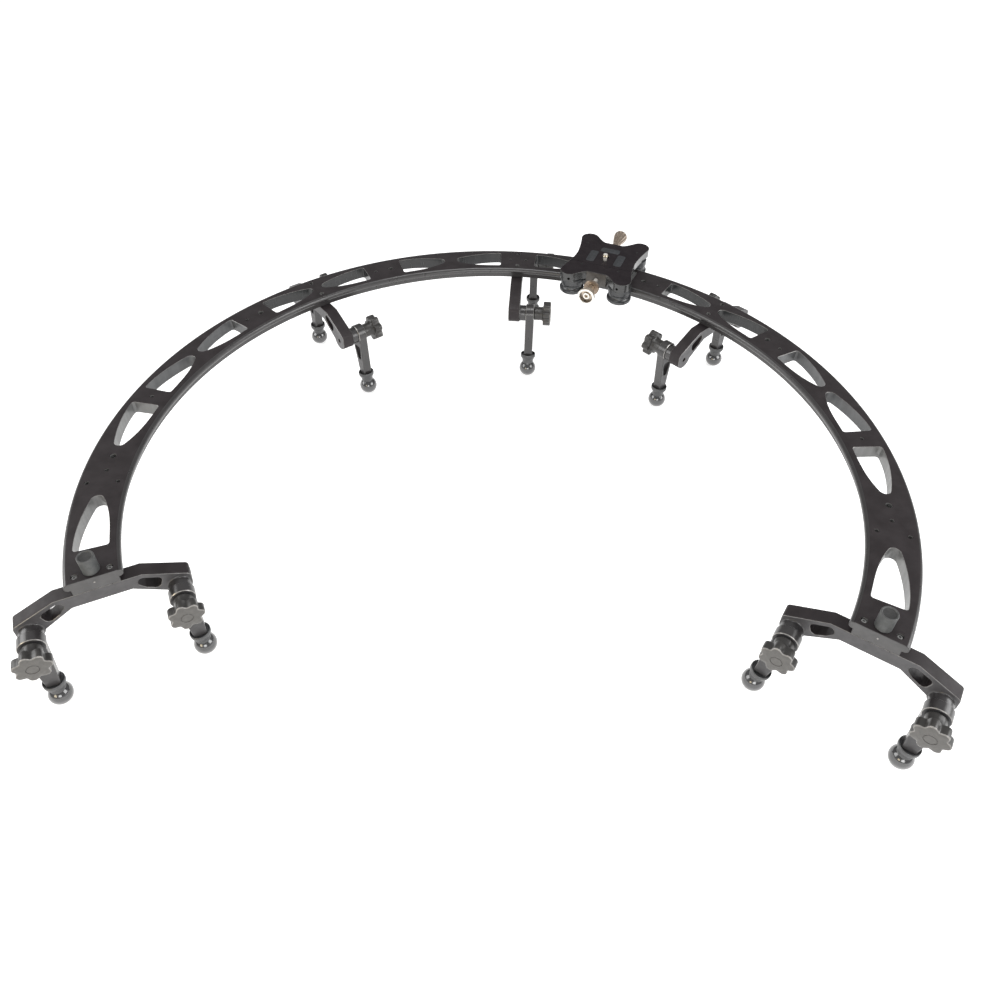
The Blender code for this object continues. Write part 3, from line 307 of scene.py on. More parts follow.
# Finishes: darkest and lightest colour, patches per metre, roughness from and to, metallic, specular,
# grains per metre and their depth, and where they differ from the usual: stretch, coat and its index
EVEN = (1.0, 1.0, 1.0)
BRUSHED = (1.0, 1.0, 0.12)
SMEAR_SCALE = 2.3
GRAIN_STRENGTH = 0.35
COAT_ROUGHNESS = 0.08
FINISHES = {
    "anodised": ((0.019, 0.0155, 0.0165), (0.028, 0.0235, 0.025), 40.0, (0.40, 0.55), 0.0, 0.24, 2600.0,
        0.00004),
    "turned": ((0.023, 0.0215, 0.022), (0.031, 0.029, 0.0295), 30.0, (0.26, 0.33), 0.0, 0.7, 1200.0,
        0.00001),
    "plate_side": ((0.017, 0.0175, 0.018), (0.026, 0.0265, 0.027), 40.0, (0.17, 0.25), 0.0, 0.6, 900.0,
        0.00001, BRUSHED, 0.4),
    "plate_rim": ((0.045, 0.044, 0.044), (0.075, 0.073, 0.073), 90.0, (0.25, 0.4), 0.2, 0.5, 2600.0,
        0.00002),
    "jaw_block": ((0.066, 0.060, 0.054), (0.090, 0.082, 0.075), 70.0, (0.26, 0.38), 0.2, 0.5, 1500.0,
        0.00002),
    "bolt": ((0.42, 0.42, 0.42), (0.58, 0.58, 0.57), 200.0, (0.18, 0.3), 1.0, 0.5, 1500.0, 0.00002),
    "plate_top": ((0.011, 0.0075, 0.0095), (0.0165, 0.0125, 0.0145), 60.0, (0.42, 0.56), 0.0, 0.16,
        2600.0, 0.00004),
    # Painted highlight: a lighter copy of the anodised colour for chamfers, so that their edges show as
    # bright lines
    "anodised_edge": ((0.13, 0.125, 0.12), (0.22, 0.215, 0.21), 90.0, (0.25, 0.4), 0.4, 0.5, 2600.0,
        0.00003),
    # The end pins' own pale grey, and a painted highlight on the chamfers round the legs' heads
    "worn_edge": ((0.26, 0.25, 0.24), (0.42, 0.41, 0.395), 90.0, (0.22, 0.36), 0.5, 0.5, 2600.0, 0.00003),
    # Painted light and shade on the rail's walls: one grey in a light, a middle and a dark copy, chosen by
    # where the wall lies along the arc
    "machined": ((0.138, 0.139, 0.138), (0.205, 0.206, 0.204), 60.0, (0.30, 0.44), 0.3, 0.5, 900.0,
        0.00005, BRUSHED),
    "machined_mid": ((0.075, 0.077, 0.079), (0.112, 0.115, 0.118), 55.0, (0.28, 0.40), 0.15, 0.5, 900.0,
        0.00004, BRUSHED),
    "machined_dark": ((0.019, 0.020, 0.021), (0.030, 0.031, 0.0325), 50.0, (0.2, 0.3), 0.0, 0.55, 900.0,
        0.00002, BRUSHED),
    "bracket_wall": ((0.050, 0.047, 0.045), (0.085, 0.080, 0.077), 70.0, (0.30, 0.44), 0.2, 0.5, 1500.0,
        0.00004),
    # Painted light: a lighter copy of the dark anodised colour for the brackets' flat front and back faces
    "face": ((0.058, 0.0565, 0.0595), (0.080, 0.078, 0.082), 45.0, (0.36, 0.48), 0.15, 0.45, 2200.0,
        0.00004),
    # Painted light: a lighter copy of the legs' dark colour for their flat front and back faces
    "leg_face": ((0.047, 0.046, 0.048), (0.067, 0.0655, 0.0685), 45.0, (0.36, 0.48), 0.15, 0.45, 2200.0,
        0.00004),
    "end_face": ((0.067, 0.066, 0.0675), (0.088, 0.087, 0.0885), 50.0, (0.4, 0.52), 0.1, 0.45, 2200.0,
        0.00004),
    "moulded": ((0.022, 0.0205, 0.0195), (0.034, 0.032, 0.0305), 70.0, (0.32, 0.42), 0.0, 0.55, 1500.0,
        0.00002),
    # Painted highlight: a light band for the rounded rim of the knob's lobes
    "moulded_rim": ((0.17, 0.163, 0.155), (0.27, 0.26, 0.248), 110.0, (0.22, 0.32), 0.1, 0.6, 1500.0,
        0.00002),
    # Painted reflection: a lighter copy of the knob's colour for its domed face
    "moulded_face": ((0.074, 0.071, 0.067), (0.099, 0.095, 0.090), 130.0, (0.34, 0.48), 0.0, 0.5, 1800.0,
        0.00008),
    "gloss": ((0.024, 0.024, 0.0255), (0.036, 0.036, 0.038), 60.0, (0.18, 0.26), 0.0, 0.5, 700.0, 0.00001,
        EVEN, 1.0, 1.6),
    "cup": ((0.056, 0.057, 0.059), (0.080, 0.081, 0.084), 90.0, (0.28, 0.4), 0.0, 0.5, 1400.0, 0.00004),
    "rubber": ((0.055, 0.0575, 0.0575), (0.078, 0.081, 0.081), 150.0, (0.42, 0.58), 0.0, 0.4, 1500.0,
        0.00006),
    "rubber_dark": ((0.030, 0.030, 0.030), (0.044, 0.044, 0.044), 150.0, (0.5, 0.65), 0.0, 0.3, 1500.0,
        0.00006),
    "rubber_lip": ((0.056, 0.057, 0.057), (0.076, 0.077, 0.077), 150.0, (0.4, 0.52), 0.0, 0.4, 1500.0,
        0.00006),
    "pad": ((0.032, 0.034, 0.037), (0.046, 0.048, 0.052), 160.0, (0.6, 0.75), 0.0, 0.22, 1500.0, 0.0001),
    "wheel": ((0.022, 0.0235, 0.026), (0.032, 0.034, 0.037), 60.0, (0.24, 0.34), 0.0, 0.7, 1600.0,
        0.00001),
    "steel": ((0.55, 0.55, 0.55), (0.72, 0.71, 0.70), 120.0, (0.18, 0.32), 1.0, 0.5, 1600.0, 0.00003),
    "brass": ((0.74, 0.66, 0.50), (0.88, 0.80, 0.64), 140.0, (0.16, 0.28), 1.0, 0.5, 1600.0, 0.00003),
    "bright": ((0.78, 0.75, 0.70), (0.92, 0.89, 0.84), 150.0, (0.30, 0.44), 0.55, 0.5, 1800.0, 0.00003),
    "recess": ((0.12, 0.105, 0.09), (0.20, 0.175, 0.15), 150.0, (0.35, 0.5), 0.6, 0.5, 1800.0, 0.00004),
    "champagne": ((0.46, 0.39, 0.31), (0.62, 0.54, 0.45), 160.0, (0.26, 0.4), 0.9, 0.5, 1800.0, 0.00004),
    "bronze": ((0.33, 0.265, 0.21), (0.46, 0.38, 0.31), 160.0, (0.22, 0.34), 0.9, 0.5, 1800.0, 0.00002),
    "bronze_dark": ((0.20, 0.155, 0.12), (0.32, 0.255, 0.20), 160.0, (0.24, 0.36), 0.85, 0.5, 1800.0,
        0.00002),
}


def circle(radius, sides, centre=(0.0, 0.0)):
    """Points of a closed circle."""
    step = 2 * math.pi / sides
    return [(centre[0] + radius * math.cos(k * step), centre[1] + radius * math.sin(k * step))
            for k in range(sides)]


def arc(centre, radius, start, end, steps):
    """Points along an arc, both ends included; angles in degrees."""
    points = []
    for k in range(steps + 1):
        angle = math.radians(start + (end - start) * k / steps)
        points.append((centre[0] + radius * math.cos(angle), centre[1] + radius * math.sin(angle)))
    return points


def rounded(corners, radius, steps=6):
    """A closed polygon with each corner turned into an arc."""
    points = []
    for k, corner in enumerate(corners):
        here = Vector(corner)
        back = (Vector(corners[k - 1]) - here).normalized()
        ahead = (Vector(corners[(k + 1) % len(corners)]) - here).normalized()
        half = math.acos(max(-1.0, min(1.0, back.dot(ahead)))) / 2
        centre = here + (back + ahead).normalized() * (radius / math.sin(half))
        first = here + back * (radius / math.tan(half)) - centre
        turn = first.angle_signed(here + ahead * (radius / math.tan(half)) - centre)
        for step in range(steps + 1):
            spoke = first.copy()
            spoke.rotate(Matrix.Rotation(-turn * step / steps, 2))
            points.append(tuple(centre + spoke))
    return points


def box_outline(centre, size, corner=0.0):
    """A rectangle, with rounded corners where a radius is given."""
    x, y = size[0] / 2, size[1] / 2
    corners = [(centre[0] - x, centre[1] - y), (centre[0] + x, centre[1] - y),
               (centre[0] + x, centre[1] + y), (centre[0] - x, centre[1] + y)]
    return rounded(corners, corner) if corner else corners


def area(outline):
    """Signed area of a closed outline; positive when it runs anticlockwise."""
    total = 0.0
    for k, point in enumerate(outline):
        total += outline[k - 1][0] * point[1] - point[0] * outline[k - 1][1]
    return total / 2


def offset(outline, distance):
    """The outline moved outwards by a distance, or inwards where it is negative."""
    side = 1 if area(outline) > 0 else -1
    points = []
    count = len(outline)
    for k in range(count):
        before = (Vector(outline[k]) - Vector(outline[k - 1])).normalized()
        after = (Vector(outline[(k + 1) % count]) - Vector(outline[k])).normalized()
        normal = Vector((before.y + after.y, -before.x - after.x)).normalized() * side
        square = max(0.5, normal.dot(Vector((before.y, -before.x)) * side))
        points.append(tuple(Vector(outline[k]) + normal * (distance / square)))
    return points


def loft(rings, closed=False):
    """A solid through rings of equal point counts, capped at both ends unless it closes on itself."""
    bm = bmesh.new()
    rows = [[bm.verts.new(point) for point in ring] for ring in rings]
    count = len(rows[0])
    pairs = list(zip(rows, rows[1:]))
    if closed:
        pairs.append((rows[-1], rows[0]))
    for low, high in pairs:
        for k in range(count):
            after = (k + 1) % count
            bm.faces.new((low[k], low[after], high[after], high[k]))
    if not closed:
        bm.faces.new(rows[0])
        bm.faces.new(rows[-1])
    bmesh.ops.remove_doubles(bm, verts=bm.verts, dist=WELD)
    bmesh.ops.recalc_face_normals(bm, faces=bm.faces)
    mesh = bpy.data.meshes.new("loft")
    bm.to_mesh(mesh)
    bm.free()
    return mesh


def at_height(outline, height):
    """The outline as a ring at a height."""
    return [(x, y, height) for x, y in outline]


def prism(outline, low, high, chamfer_low=0.0, chamfer_high=0.0):
    """An outline between two heights, with chamfered rims; a negative chamfer flares out."""
    rings = []
    if chamfer_low:
        rings.append(at_height(offset(outline, -chamfer_low), low))
        rings.append(at_height(outline, low + abs(chamfer_low)))
    else:
        rings.append(at_height(outline, low))
    if chamfer_high:
        rings.append(at_height(outline, high - abs(chamfer_high)))
        rings.append(at_height(offset(outline, -chamfer_high), high))
    else:
        rings.append(at_height(outline, high))
    return loft(rings)


def flared_cutter(outline, low, high, chamfer):
    """A cutter that chamfers the rims of the hole it makes between two heights."""
    reach = 2 * chamfer
    rings = [at_height(offset(outline, chamfer + reach), low - reach),
             at_height(outline, low + chamfer),
             at_height(outline, high - chamfer),
             at_height(offset(outline, chamfer + reach), high + reach)]
    return loft(rings)


def lathe(profile, sides=ROUND_SIDES, ring=False):
    """A profile of (radius, height) points turned about z; it closes on itself where ring is set."""
    rings = []
    for radius, height in profile:
        rings.append(at_height(circle(max(radius, WELD), sides), height))
    return loft(rings, closed=ring)


def lobed(profile, lobes, sides, power=1.0):
    """A turned shape whose radius dips between lobes; profile points are (radius, height, dip)."""
    rings = []
    for radius, height, dip in profile:
        ring = []
        for k in range(sides):
            angle = 2 * math.pi * k / sides
            share = ((1 - math.cos(lobes * angle)) / 2) ** power
            here = max(radius - dip * share, WELD)
            ring.append((here * math.cos(angle), here * math.sin(angle), height))
        rings.append(ring)
    return loft(rings)


def evaluated_mesh(obj):
    """The object's mesh with its modifiers applied; the object itself is removed."""
    bpy.context.view_layer.update()
    graph = bpy.context.evaluated_depsgraph_get()
    mesh = bpy.data.meshes.new_from_object(obj.evaluated_get(graph))
    bpy.data.objects.remove(obj)
    return mesh


def loose_object(mesh):
    """A working object that holds a mesh while modifiers are applied."""
    obj = bpy.data.objects.new("work", mesh)
    bpy.context.scene.collection.objects.link(obj)
    return obj


def combined(mesh, other, operation):
    """A mesh joined with another (UNION) or cut by it (DIFFERENCE, INTERSECT)."""
    obj = loose_object(mesh)
    tool = loose_object(other)
    boolean = obj.modifiers.new("combine", "BOOLEAN")
    boolean.operation = operation
    boolean.solver = "EXACT"
    boolean.object = tool
    result = evaluated_mesh(obj)
    bpy.data.objects.remove(tool)
    return result


def cut(mesh, cutter):
    """A mesh with a cutter taken away."""
    return combined(mesh, cutter, "DIFFERENCE")


def joined(meshes):
    """Several separate meshes as one."""
    bm = bmesh.new()
    for mesh in meshes:
        bm.from_mesh(mesh)
    result = bpy.data.meshes.new("joined")
    bm.to_mesh(result)
    bm.free()
    return result


def moved(mesh, matrix):
    """The same mesh, moved."""
    mesh.transform(matrix)
    return mesh


finishes = {}  # each finish by its name; make_finishes fills it


def paint(mesh, names, choose=None):
    """Gives the mesh its finishes by name; choose(face) gives the place of each face's finish in names."""
    mesh.materials.clear()
    for name in names.split():
        mesh.materials.append(finishes[name])
    for face in mesh.polygons:
        face.material_index = choose(face) if choose else 0
    mesh.shade_smooth()
    mesh.set_sharp_from_angle(angle=math.radians(SHARP_ANGLE))
    return mesh


def sloped(face):
    """Whether a face belongs to a chamfer."""
    return SLOPED < abs(face.normal.z) < LEVEL


def level(face):
    """Whether a face looks straight up or down."""
    return abs(face.normal.z) >= LEVEL


def add(name, mesh, place, body, nodes=()):
    """A piece in its place that rides on a body and stands for CAD nodes."""
    obj = bpy.data.objects.new(name, mesh)
    bpy.context.scene.collection.objects.link(obj)
    obj.matrix_world = place
    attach(obj, body)
    if nodes:
        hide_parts(*nodes)


def shift(x, y, z):
    """A move."""
    return Matrix.Translation((x, y, z))


def turn_about(axis, degrees):
    """A turn about x, y or z."""
    return Matrix.Rotation(math.radians(degrees), 4, axis)


def along_rail(angle):
    """Frame at an angle of the arc: x away from the arc's centre, y along the rail, z up."""
    return Matrix.Translation(ARC_CENTRE) @ turn_about("Z", angle + 90)


def node_material(name):
    """A new material with its node tree and shader."""
    made = bpy.data.materials.new(name)
    made.use_nodes = True
    return made, made.node_tree, made.node_tree.nodes["Principled BSDF"]


def node(tree, kind, values=(), links=()):
    """A new node with values for its inputs and links to them, by the inputs' names or numbers."""
    made = tree.nodes.new(kind)
    for key, value in dict(values).items():
        made.inputs[key].default_value = value
    for key, source in dict(links).items():
        tree.links.new(source, made.inputs[key])
    return made


def noise(tree, scale, detail, stretch, roughness=0.55):
    """Noise in the piece's own space, in cycles per metre."""
    place = node(tree, "ShaderNodeTexCoord").outputs["Object"]
    mapping = node(tree, "ShaderNodeMapping", {"Scale": stretch}, {"Vector": place})
    values = {"Scale": scale, "Detail": detail, "Roughness": roughness}
    return node(tree, "ShaderNodeTexNoise", values, {"Vector": mapping.outputs["Vector"]}).outputs["Fac"]


def ramp(tree, source, stops):
    """A colour ramp with two stops of (place, grey or colour)."""
    made = node(tree, "ShaderNodeValToRGB", links={"Fac": source})
    for element, (place, colour) in zip(made.color_ramp.elements, stops):
        element.position = place
        if isinstance(colour, float):
            colour = (colour, colour, colour)
        element.color = (*colour, 1.0)
    return made.outputs["Color"]


def finish(name, dark, light, patch, rough, metallic, specular, grain, grain_depth, stretch=EVEN,
           coat=0.0, coat_index=1.5):
    """A surface whose colour and roughness drift between two values, with a fine grain in relief."""
    made, tree, shader = node_material(name)
    cloud = noise(tree, patch, 4.0, stretch)
    tree.links.new(ramp(tree, cloud, [(0.35, dark), (0.65, light)]), shader.inputs["Base Color"])
    smear = noise(tree, patch * SMEAR_SCALE, 5.0, stretch, 0.65)
    tree.links.new(ramp(tree, smear, [(0.3, rough[0]), (0.7, rough[1])]), shader.inputs["Roughness"])
    shader.inputs["Metallic"].default_value = metallic
    shader.inputs["Specular IOR Level"].default_value = specular
    if coat:
        shader.inputs["Coat Weight"].default_value = coat
        shader.inputs["Coat Roughness"].default_value = COAT_ROUGHNESS
        shader.inputs["Coat IOR"].default_value = coat_index
    relief = node(tree, "ShaderNodeBump", {"Strength": GRAIN_STRENGTH, "Distance": grain_depth},
                  {"Height": noise(tree, grain, 2.0, stretch)})
    tree.links.new(relief.outputs["Normal"], shader.inputs["Normal"])
    return made


def make_finishes():
    """Makes every finish of the object."""
    for name, values in FINISHES.items():
        finishes[name] = finish(name, *values)


def rail_section(inset=0.0):
    """Half-round edges on a flat flange, with a narrower neck below; x is the radius."""
    outer = arc((RAIL_OUTER_RADIUS - BEAD_RADIUS, -BEAD_RADIUS), BEAD_RADIUS, 90, -90, BEAD_STEPS)
    inner = arc((RAIL_INNER_RADIUS + BEAD_RADIUS, -BEAD_RADIUS), BEAD_RADIUS, 270, 90, BEAD_STEPS)
    neck_outer = RAIL_OUTER_RADIUS - NECK_INSET
    neck_inner = RAIL_INNER_RADIUS + NECK_INSET
    neck = [(neck_outer, -FLANGE_HEIGHT), (neck_outer, RAIL_BOTTOM),
            (neck_inner, RAIL_BOTTOM), (neck_inner, -FLANGE_HEIGHT)]
    section = outer + neck + inner
    return offset(section, -inset) if inset else section


def on_arc(angle, radius):
    """Plan place of a point on the arc."""
    turn = math.radians(angle + 90)
    return (radius * math.cos(turn), radius * math.sin(turn))


def section_ring(section, angle):
    """A section of the rail as a ring at an angle of the arc."""
    return [(*on_arc(angle, x), z) for x, z in section]


def window_side(length, power):
    """One side of a rail window, from its flat end to its tip: distances along and half widths."""
    tip_place = length - WINDOW_TIP_RADIUS
    side_end = tip_place + WINDOW_TIP_RADIUS * math.sin(math.radians(WINDOW_TIP_START))
    tip_half = WINDOW_TIP_RADIUS * math.cos(math.radians(WINDOW_TIP_START))
    points = arc((WINDOW_CORNER, WINDOW_HALF_WIDTH - WINDOW_CORNER), WINDOW_CORNER, 180, 90, 6)
    for k in range(1, WINDOW_SIDE_STEPS):
        share = k / WINDOW_SIDE_STEPS
        place = WINDOW_CORNER + (side_end - WINDOW_CORNER) * share
        half = tip_half + (WINDOW_HALF_WIDTH - tip_half) * (1 - share ** power)
        points.append((place, half))
    return points + arc((tip_place, 0.0), WINDOW_TIP_RADIUS, 90 - WINDOW_TIP_START, 0, 8)


def window_outline(flat_angle, tip_angle):
    """A window of the rail: flat at one end, bowed sides, rounded at the other."""
    length = RAIL_MIDDLE_RADIUS * math.radians(abs(tip_angle - flat_angle))
    outer = window_side(length, WINDOW_OUTER_POWER)
    inner = [(place, -half) for place, half in reversed(window_side(length, WINDOW_INNER_POWER)[:-1])]
    toward_tip = 1 if tip_angle > flat_angle else -1
    points = []
    for place, half in outer + inner:
        angle = math.radians(flat_angle + 90) + toward_tip * place / RAIL_MIDDLE_RADIUS
        radius = RAIL_MIDDLE_RADIUS + half
        points.append((radius * math.cos(angle), radius * math.sin(angle)))
    return points


def bracket_bolt_places():
    """Plan places of the bolts that hold the brackets."""
    end = RAIL_HALF_SPAN - math.degrees(BRACKET_THICKNESS / 2 / RAIL_MIDDLE_RADIUS)
    places = []
    for angle in (end, MIDDLE_BRACKET_ANGLE, 0.0, -MIDDLE_BRACKET_ANGLE, -end):
        for side in (-BOLT_SPACING / 2, BOLT_SPACING / 2):
            places.append(on_arc(angle, RAIL_MIDDLE_RADIUS + side))
    return places


def rail_holes():
    """Plan place and radius of each round hole in the rail."""
    holes = [(place, BOLT_HOLE_RADIUS) for place in bracket_bolt_places()]
    for side in (1, -1):
        for angle in SMALL_HOLES + (CENTRE_HOLE_ANGLE,):
            holes.append((on_arc(side * angle, RAIL_MIDDLE_RADIUS), SMALL_HOLE_RADIUS))
        for angle in LARGE_HOLES:
            holes.append((on_arc(side * angle, RAIL_MIDDLE_RADIUS), LARGE_HOLE_RADIUS))
        for half in (-BOLT_SPACING / 2, BOLT_SPACING / 2):
            place = on_arc(side * SPARE_BOLT_ANGLE, RAIL_MIDDLE_RADIUS + half)
            holes.append((place, SMALL_HOLE_RADIUS))
    return holes


def make_rail():
    """The curved rail with chamfered windows and holes."""
    full = rail_section()
    small = rail_section(END_CHAMFER)
    turn_in = math.degrees(END_CHAMFER / RAIL_MIDDLE_RADIUS)
    rings = [section_ring(small, -RAIL_HALF_SPAN)]
    for k in range(RAIL_STEPS + 1):
        share = k / RAIL_STEPS
        rings.append(section_ring(full, (RAIL_HALF_SPAN - turn_in) * (2 * share - 1)))
    rings.append(section_ring(small, RAIL_HALF_SPAN))
    mesh = loft(rings)
    cutters = []
    for flat_angle, tip_angle in WINDOWS:
        for side in (1, -1):
            outline = window_outline(side * flat_angle, side * tip_angle)
            cutters.append(flared_cutter(outline, RAIL_BOTTOM, 0.0, WINDOW_CHAMFER))
    for place, radius in rail_holes():
        cutters.append(flared_cutter(circle(radius, HOLE_SIDES, place), RAIL_BOTTOM, 0.0, HOLE_CHAMFER))
    mesh = cut(mesh, joined(cutters))
    # The rail's tints in order; the three wall tints are painted light and shade, and the chamfers' tint is a
    # painted highlight
    face_tint, lit_wall_tint, edge_highlight_tint, end_tint, side_tint, shaded_wall_tint, half_lit_wall_tint = range(7)
    holes = [Vector(place) for place, radius in rail_holes()]
    hole_reach = LARGE_HOLE_RADIUS + 4 * HOLE_CHAMFER

    def choose(face):
        x, y, z = face.center
        radius = math.hypot(x, y)
        turn = abs(math.atan2(x, y))
        inside = abs(radius - RAIL_MIDDLE_RADIUS) < WINDOW_HALF_WIDTH + 4 * WINDOW_CHAMFER
        if not inside:
            return side_tint if face.normal.z < RAIL_LEVEL else face_tint
        upright = abs(face.normal.z) < UPRIGHT
        radial = abs(face.normal.x * x + face.normal.y * y) / radius
        at_end = radial < ALONG and turn > END_FACE_TURN
        if upright and at_end:
            return end_tint
        to_hole = min((hole - Vector((x, y))).length for hole in holes)
        # Round the holes the chamfers keep the top's colour, and the walls get the lit wall copy as a painted
        # glint
        if face.normal.z < LEVEL and to_hole < hole_reach:
            return face_tint if face.normal.z > UPRIGHT else lit_wall_tint
        # Painted light and shade: window walls nearer the middle get the dark copy, those further out the
        # middle and then the light copy
        if upright:
            if math.degrees(turn) < FRONT_WINDOWS_END:
                return shaded_wall_tint
            return half_lit_wall_tint if math.degrees(turn) < SIDE_WINDOWS_END else lit_wall_tint
        # Chamfers round the windows get the painted edge highlight; those at the rail's ends get the end
        # faces' colour
        if SLOPED < face.normal.z < LEVEL and z > -2 * WINDOW_CHAMFER:
            return end_tint if at_end else edge_highlight_tint
        return face_tint

    paint(mesh, "anodised machined anodised_edge end_face turned machined_dark machined_mid", choose)
    add("rail", mesh, Matrix.Translation(ARC_CENTRE), "root", ["curved_rail"])


def socket_bolt_mesh(radius, height, finish_name):
    """A socket-head bolt, its head's top at 0, with a six-sided socket."""
    edge = radius / 8
    socket_radius, socket_depth = radius * 0.55, radius * 0.9
    head = lathe([(0, -height), (radius, -height), (radius, -edge), (radius - edge, 0), (0, 0)], HOLE_SIDES)
    socket = prism(circle(socket_radius, 6), -socket_depth, radius)
    return paint(cut(head, socket), finish_name)


def make_bracket_bolts():
    """Socket-head bolts sunk into the rail over each bracket."""
    mesh = socket_bolt_mesh(BOLT_HEAD_RADIUS, FLANGE_HEIGHT / 2, "bolt")
    for count, (x, y) in enumerate(bracket_bolt_places()):
        place = Matrix.Translation(ARC_CENTRE + Vector((x, y, -BOLT_SINK)))
        add("bracket_bolt_%02d" % count, mesh, place, "root")


def make_end_pins():
    """The small pin in the middle of each end face of the rail."""
    edge, seat = 0.0003, 0.002
    mesh = lathe([(0, edge), (END_PIN_RADIUS - edge, edge), (END_PIN_RADIUS, 0), (END_PIN_RADIUS, -seat),
                  (0, -seat)], HOLE_SIDES)
    paint(mesh, "worn_edge")
    for name, side in ENDS:
        spot = shift(RAIL_MIDDLE_RADIUS, 0, -FLANGE_HEIGHT * 0.75)
        place = along_rail(side * RAIL_HALF_SPAN) @ spot @ turn_about("X", -90 * side)
        add("end_pin_" + name, mesh, place, "root")


def make_bumpers():
    """Rubber bumpers: a dished top inside a raised, rounded lip."""
    top, edge, dish = BUMPER_HEIGHT, 0.001, BUMPER_HEIGHT - BUMPER_DISH_DEPTH
    profile = [(0, dish), (BUMPER_DISH_RADIUS, dish), (BUMPER_LIP_RADIUS, top - 0.0012),
               (0.0089, top - 0.0003), (0.0093, top)]
    profile += arc((BUMPER_RADIUS - edge, top - edge), edge, 90, 0, 5)
    profile += [(BUMPER_RADIUS, 0.0012), (BUMPER_RADIUS - 0.0008, GAP), (0, GAP)]
    mesh = lathe(profile)

    def choose(face):
        if face.center.z < top - 0.0018:
            return 0
        return 1 if face.center.xy.length < BUMPER_LIP_RADIUS else 2

    paint(mesh, "rubber rubber_dark rubber_lip", choose)
    for name, side in ENDS:
        place = along_rail(side * (RAIL_HALF_SPAN - BUMPER_INSET)) @ shift(RAIL_MIDDLE_RADIUS, 0, 0)
        add("bumper_" + name, mesh, place, "root", ["end_bumper_" + name])


def crossing(start, slope, x):
    """The point of a sloping line at a given x."""
    return (x, start.y + slope * (x - start.x))


def arm_points():
    """Pivot, shoulder, outer corner, heel and underside meeting point of a bracket's arm at +x."""
    pivot = Vector((PIVOT_HALF, -PIVOT_DEPTH))
    shoulder = Vector((BRACKET_FLAT_HALF, RAIL_BOTTOM))
    corner = pivot + Vector((ARM_END_RADIUS, ARM_CORNER_RISE))
    heel = Vector((BRACKET_ARCH_HALF, RAIL_BOTTOM - BRACKET_DEPTH))
    turn = math.radians(ARM_HEEL_ANGLE)
    meeting = pivot + Vector((math.cos(turn), math.sin(turn))) * ARM_END_RADIUS
    return pivot, shoulder, corner, heel, meeting


def arm_outline():
    """The half of a bracket's outline at +x, from its top middle to its bottom middle."""
    pivot, shoulder, corner, heel = arm_points()[:4]
    side_end = pivot + Vector((ARM_END_RADIUS, 0))
    steps = 8
    bends = rounded([tuple(shoulder), tuple(corner), tuple(side_end)], ARM_CORNER_RADIUS, steps)
    end = arc(pivot, ARM_END_RADIUS, 0.0, ARM_HEEL_ANGLE, 26)
    return [tuple(shoulder)] + bends[steps + 1:2 * steps + 2] + end + [tuple(heel)]


def arm_window():
    """Corners of the window in a bracket's arm, kept at set walls from its edges and its boss."""
    pivot, shoulder, corner, heel, meeting = arm_points()
    top_slope = (corner.y - shoulder.y) / (corner.x - shoulder.x)
    low_slope = (meeting.y - heel.y) / (meeting.x - heel.x)
    top = shoulder - Vector((0, ARM_WALL_TOP * math.hypot(1, top_slope)))
    low = heel + Vector((0, ARM_WALL_BOTTOM * math.hypot(1, low_slope)))
    end = pivot.x - BOSS_RADIUS - ARM_WINDOW_END
    return [tuple(heel + Vector(ARM_WINDOW_TIP)), crossing(top, top_slope, shoulder.x - ARM_WINDOW_START),
            crossing(top, top_slope, end), crossing(low, low_slope, end - ARM_WINDOW_CORNER),
            crossing(low, low_slope, heel.x + ARM_WINDOW_HEEL)]


def bracket_mesh():
    """A bracket: x across the rail, y up, z towards the legs, 0 at the leg face."""
    half = arm_outline()
    outline = half + [(-x, y) for x, y in reversed(half)]
    mesh = prism(outline, -BRACKET_THICKNESS, 0.0, EDGE_CHAMFER, EDGE_CHAMFER)
    window = rounded(arm_window(), ARM_WINDOW_CORNER, 8)
    fillet = 0.002
    boss_profile = [(0, BOSS_LENGTH), (BOSS_RADIUS - EDGE_CHAMFER, BOSS_LENGTH),
                    (BOSS_RADIUS, BOSS_LENGTH - EDGE_CHAMFER)]
    boss_profile += arc((BOSS_RADIUS + fillet, fillet), fillet, 180, 270, 5)
    boss_profile += [(BOSS_RADIUS + fillet, -BRACKET_THICKNESS / 3), (0, -BRACKET_THICKNESS / 3)]
    for side in (1, -1):
        outline = [(side * x, y) for x, y in window]
        mesh = cut(mesh, flared_cutter(outline, -BRACKET_THICKNESS, 0.0, EDGE_CHAMFER))
        pivot = (side * PIVOT_HALF, -PIVOT_DEPTH)
        mesh = combined(mesh, moved(lathe(boss_profile), shift(*pivot, 0)), "UNION")
        bore = circle(STUD_RADIUS + GAP, HOLE_SIDES, pivot)
        mesh = cut(mesh, flared_cutter(bore, -BRACKET_THICKNESS, BOSS_LENGTH, HOLE_CHAMFER))

    def choose(face):
        # Chamfers, but for the boss's, get the painted edge highlight
        if sloped(face) and not 0 < face.center.z < BOSS_LENGTH - EDGE_CHAMFER:
            return 1
        # Flat front and back faces get painted light, a lighter copy of the anodised colour
        if level(face):
            return 2
        if face.center.z > WELD:
            return 4
        on_top = face.normal.y > SLOPED and face.center.y > -PIVOT_DEPTH - BOSS_RADIUS
        outside = abs(face.center.x) > PIVOT_HALF - BOSS_RADIUS or face.center.y > RAIL_BOTTOM - 0.001
        return 0 if on_top or outside else 3

    return paint(mesh, "anodised anodised_edge face bracket_wall turned", choose)


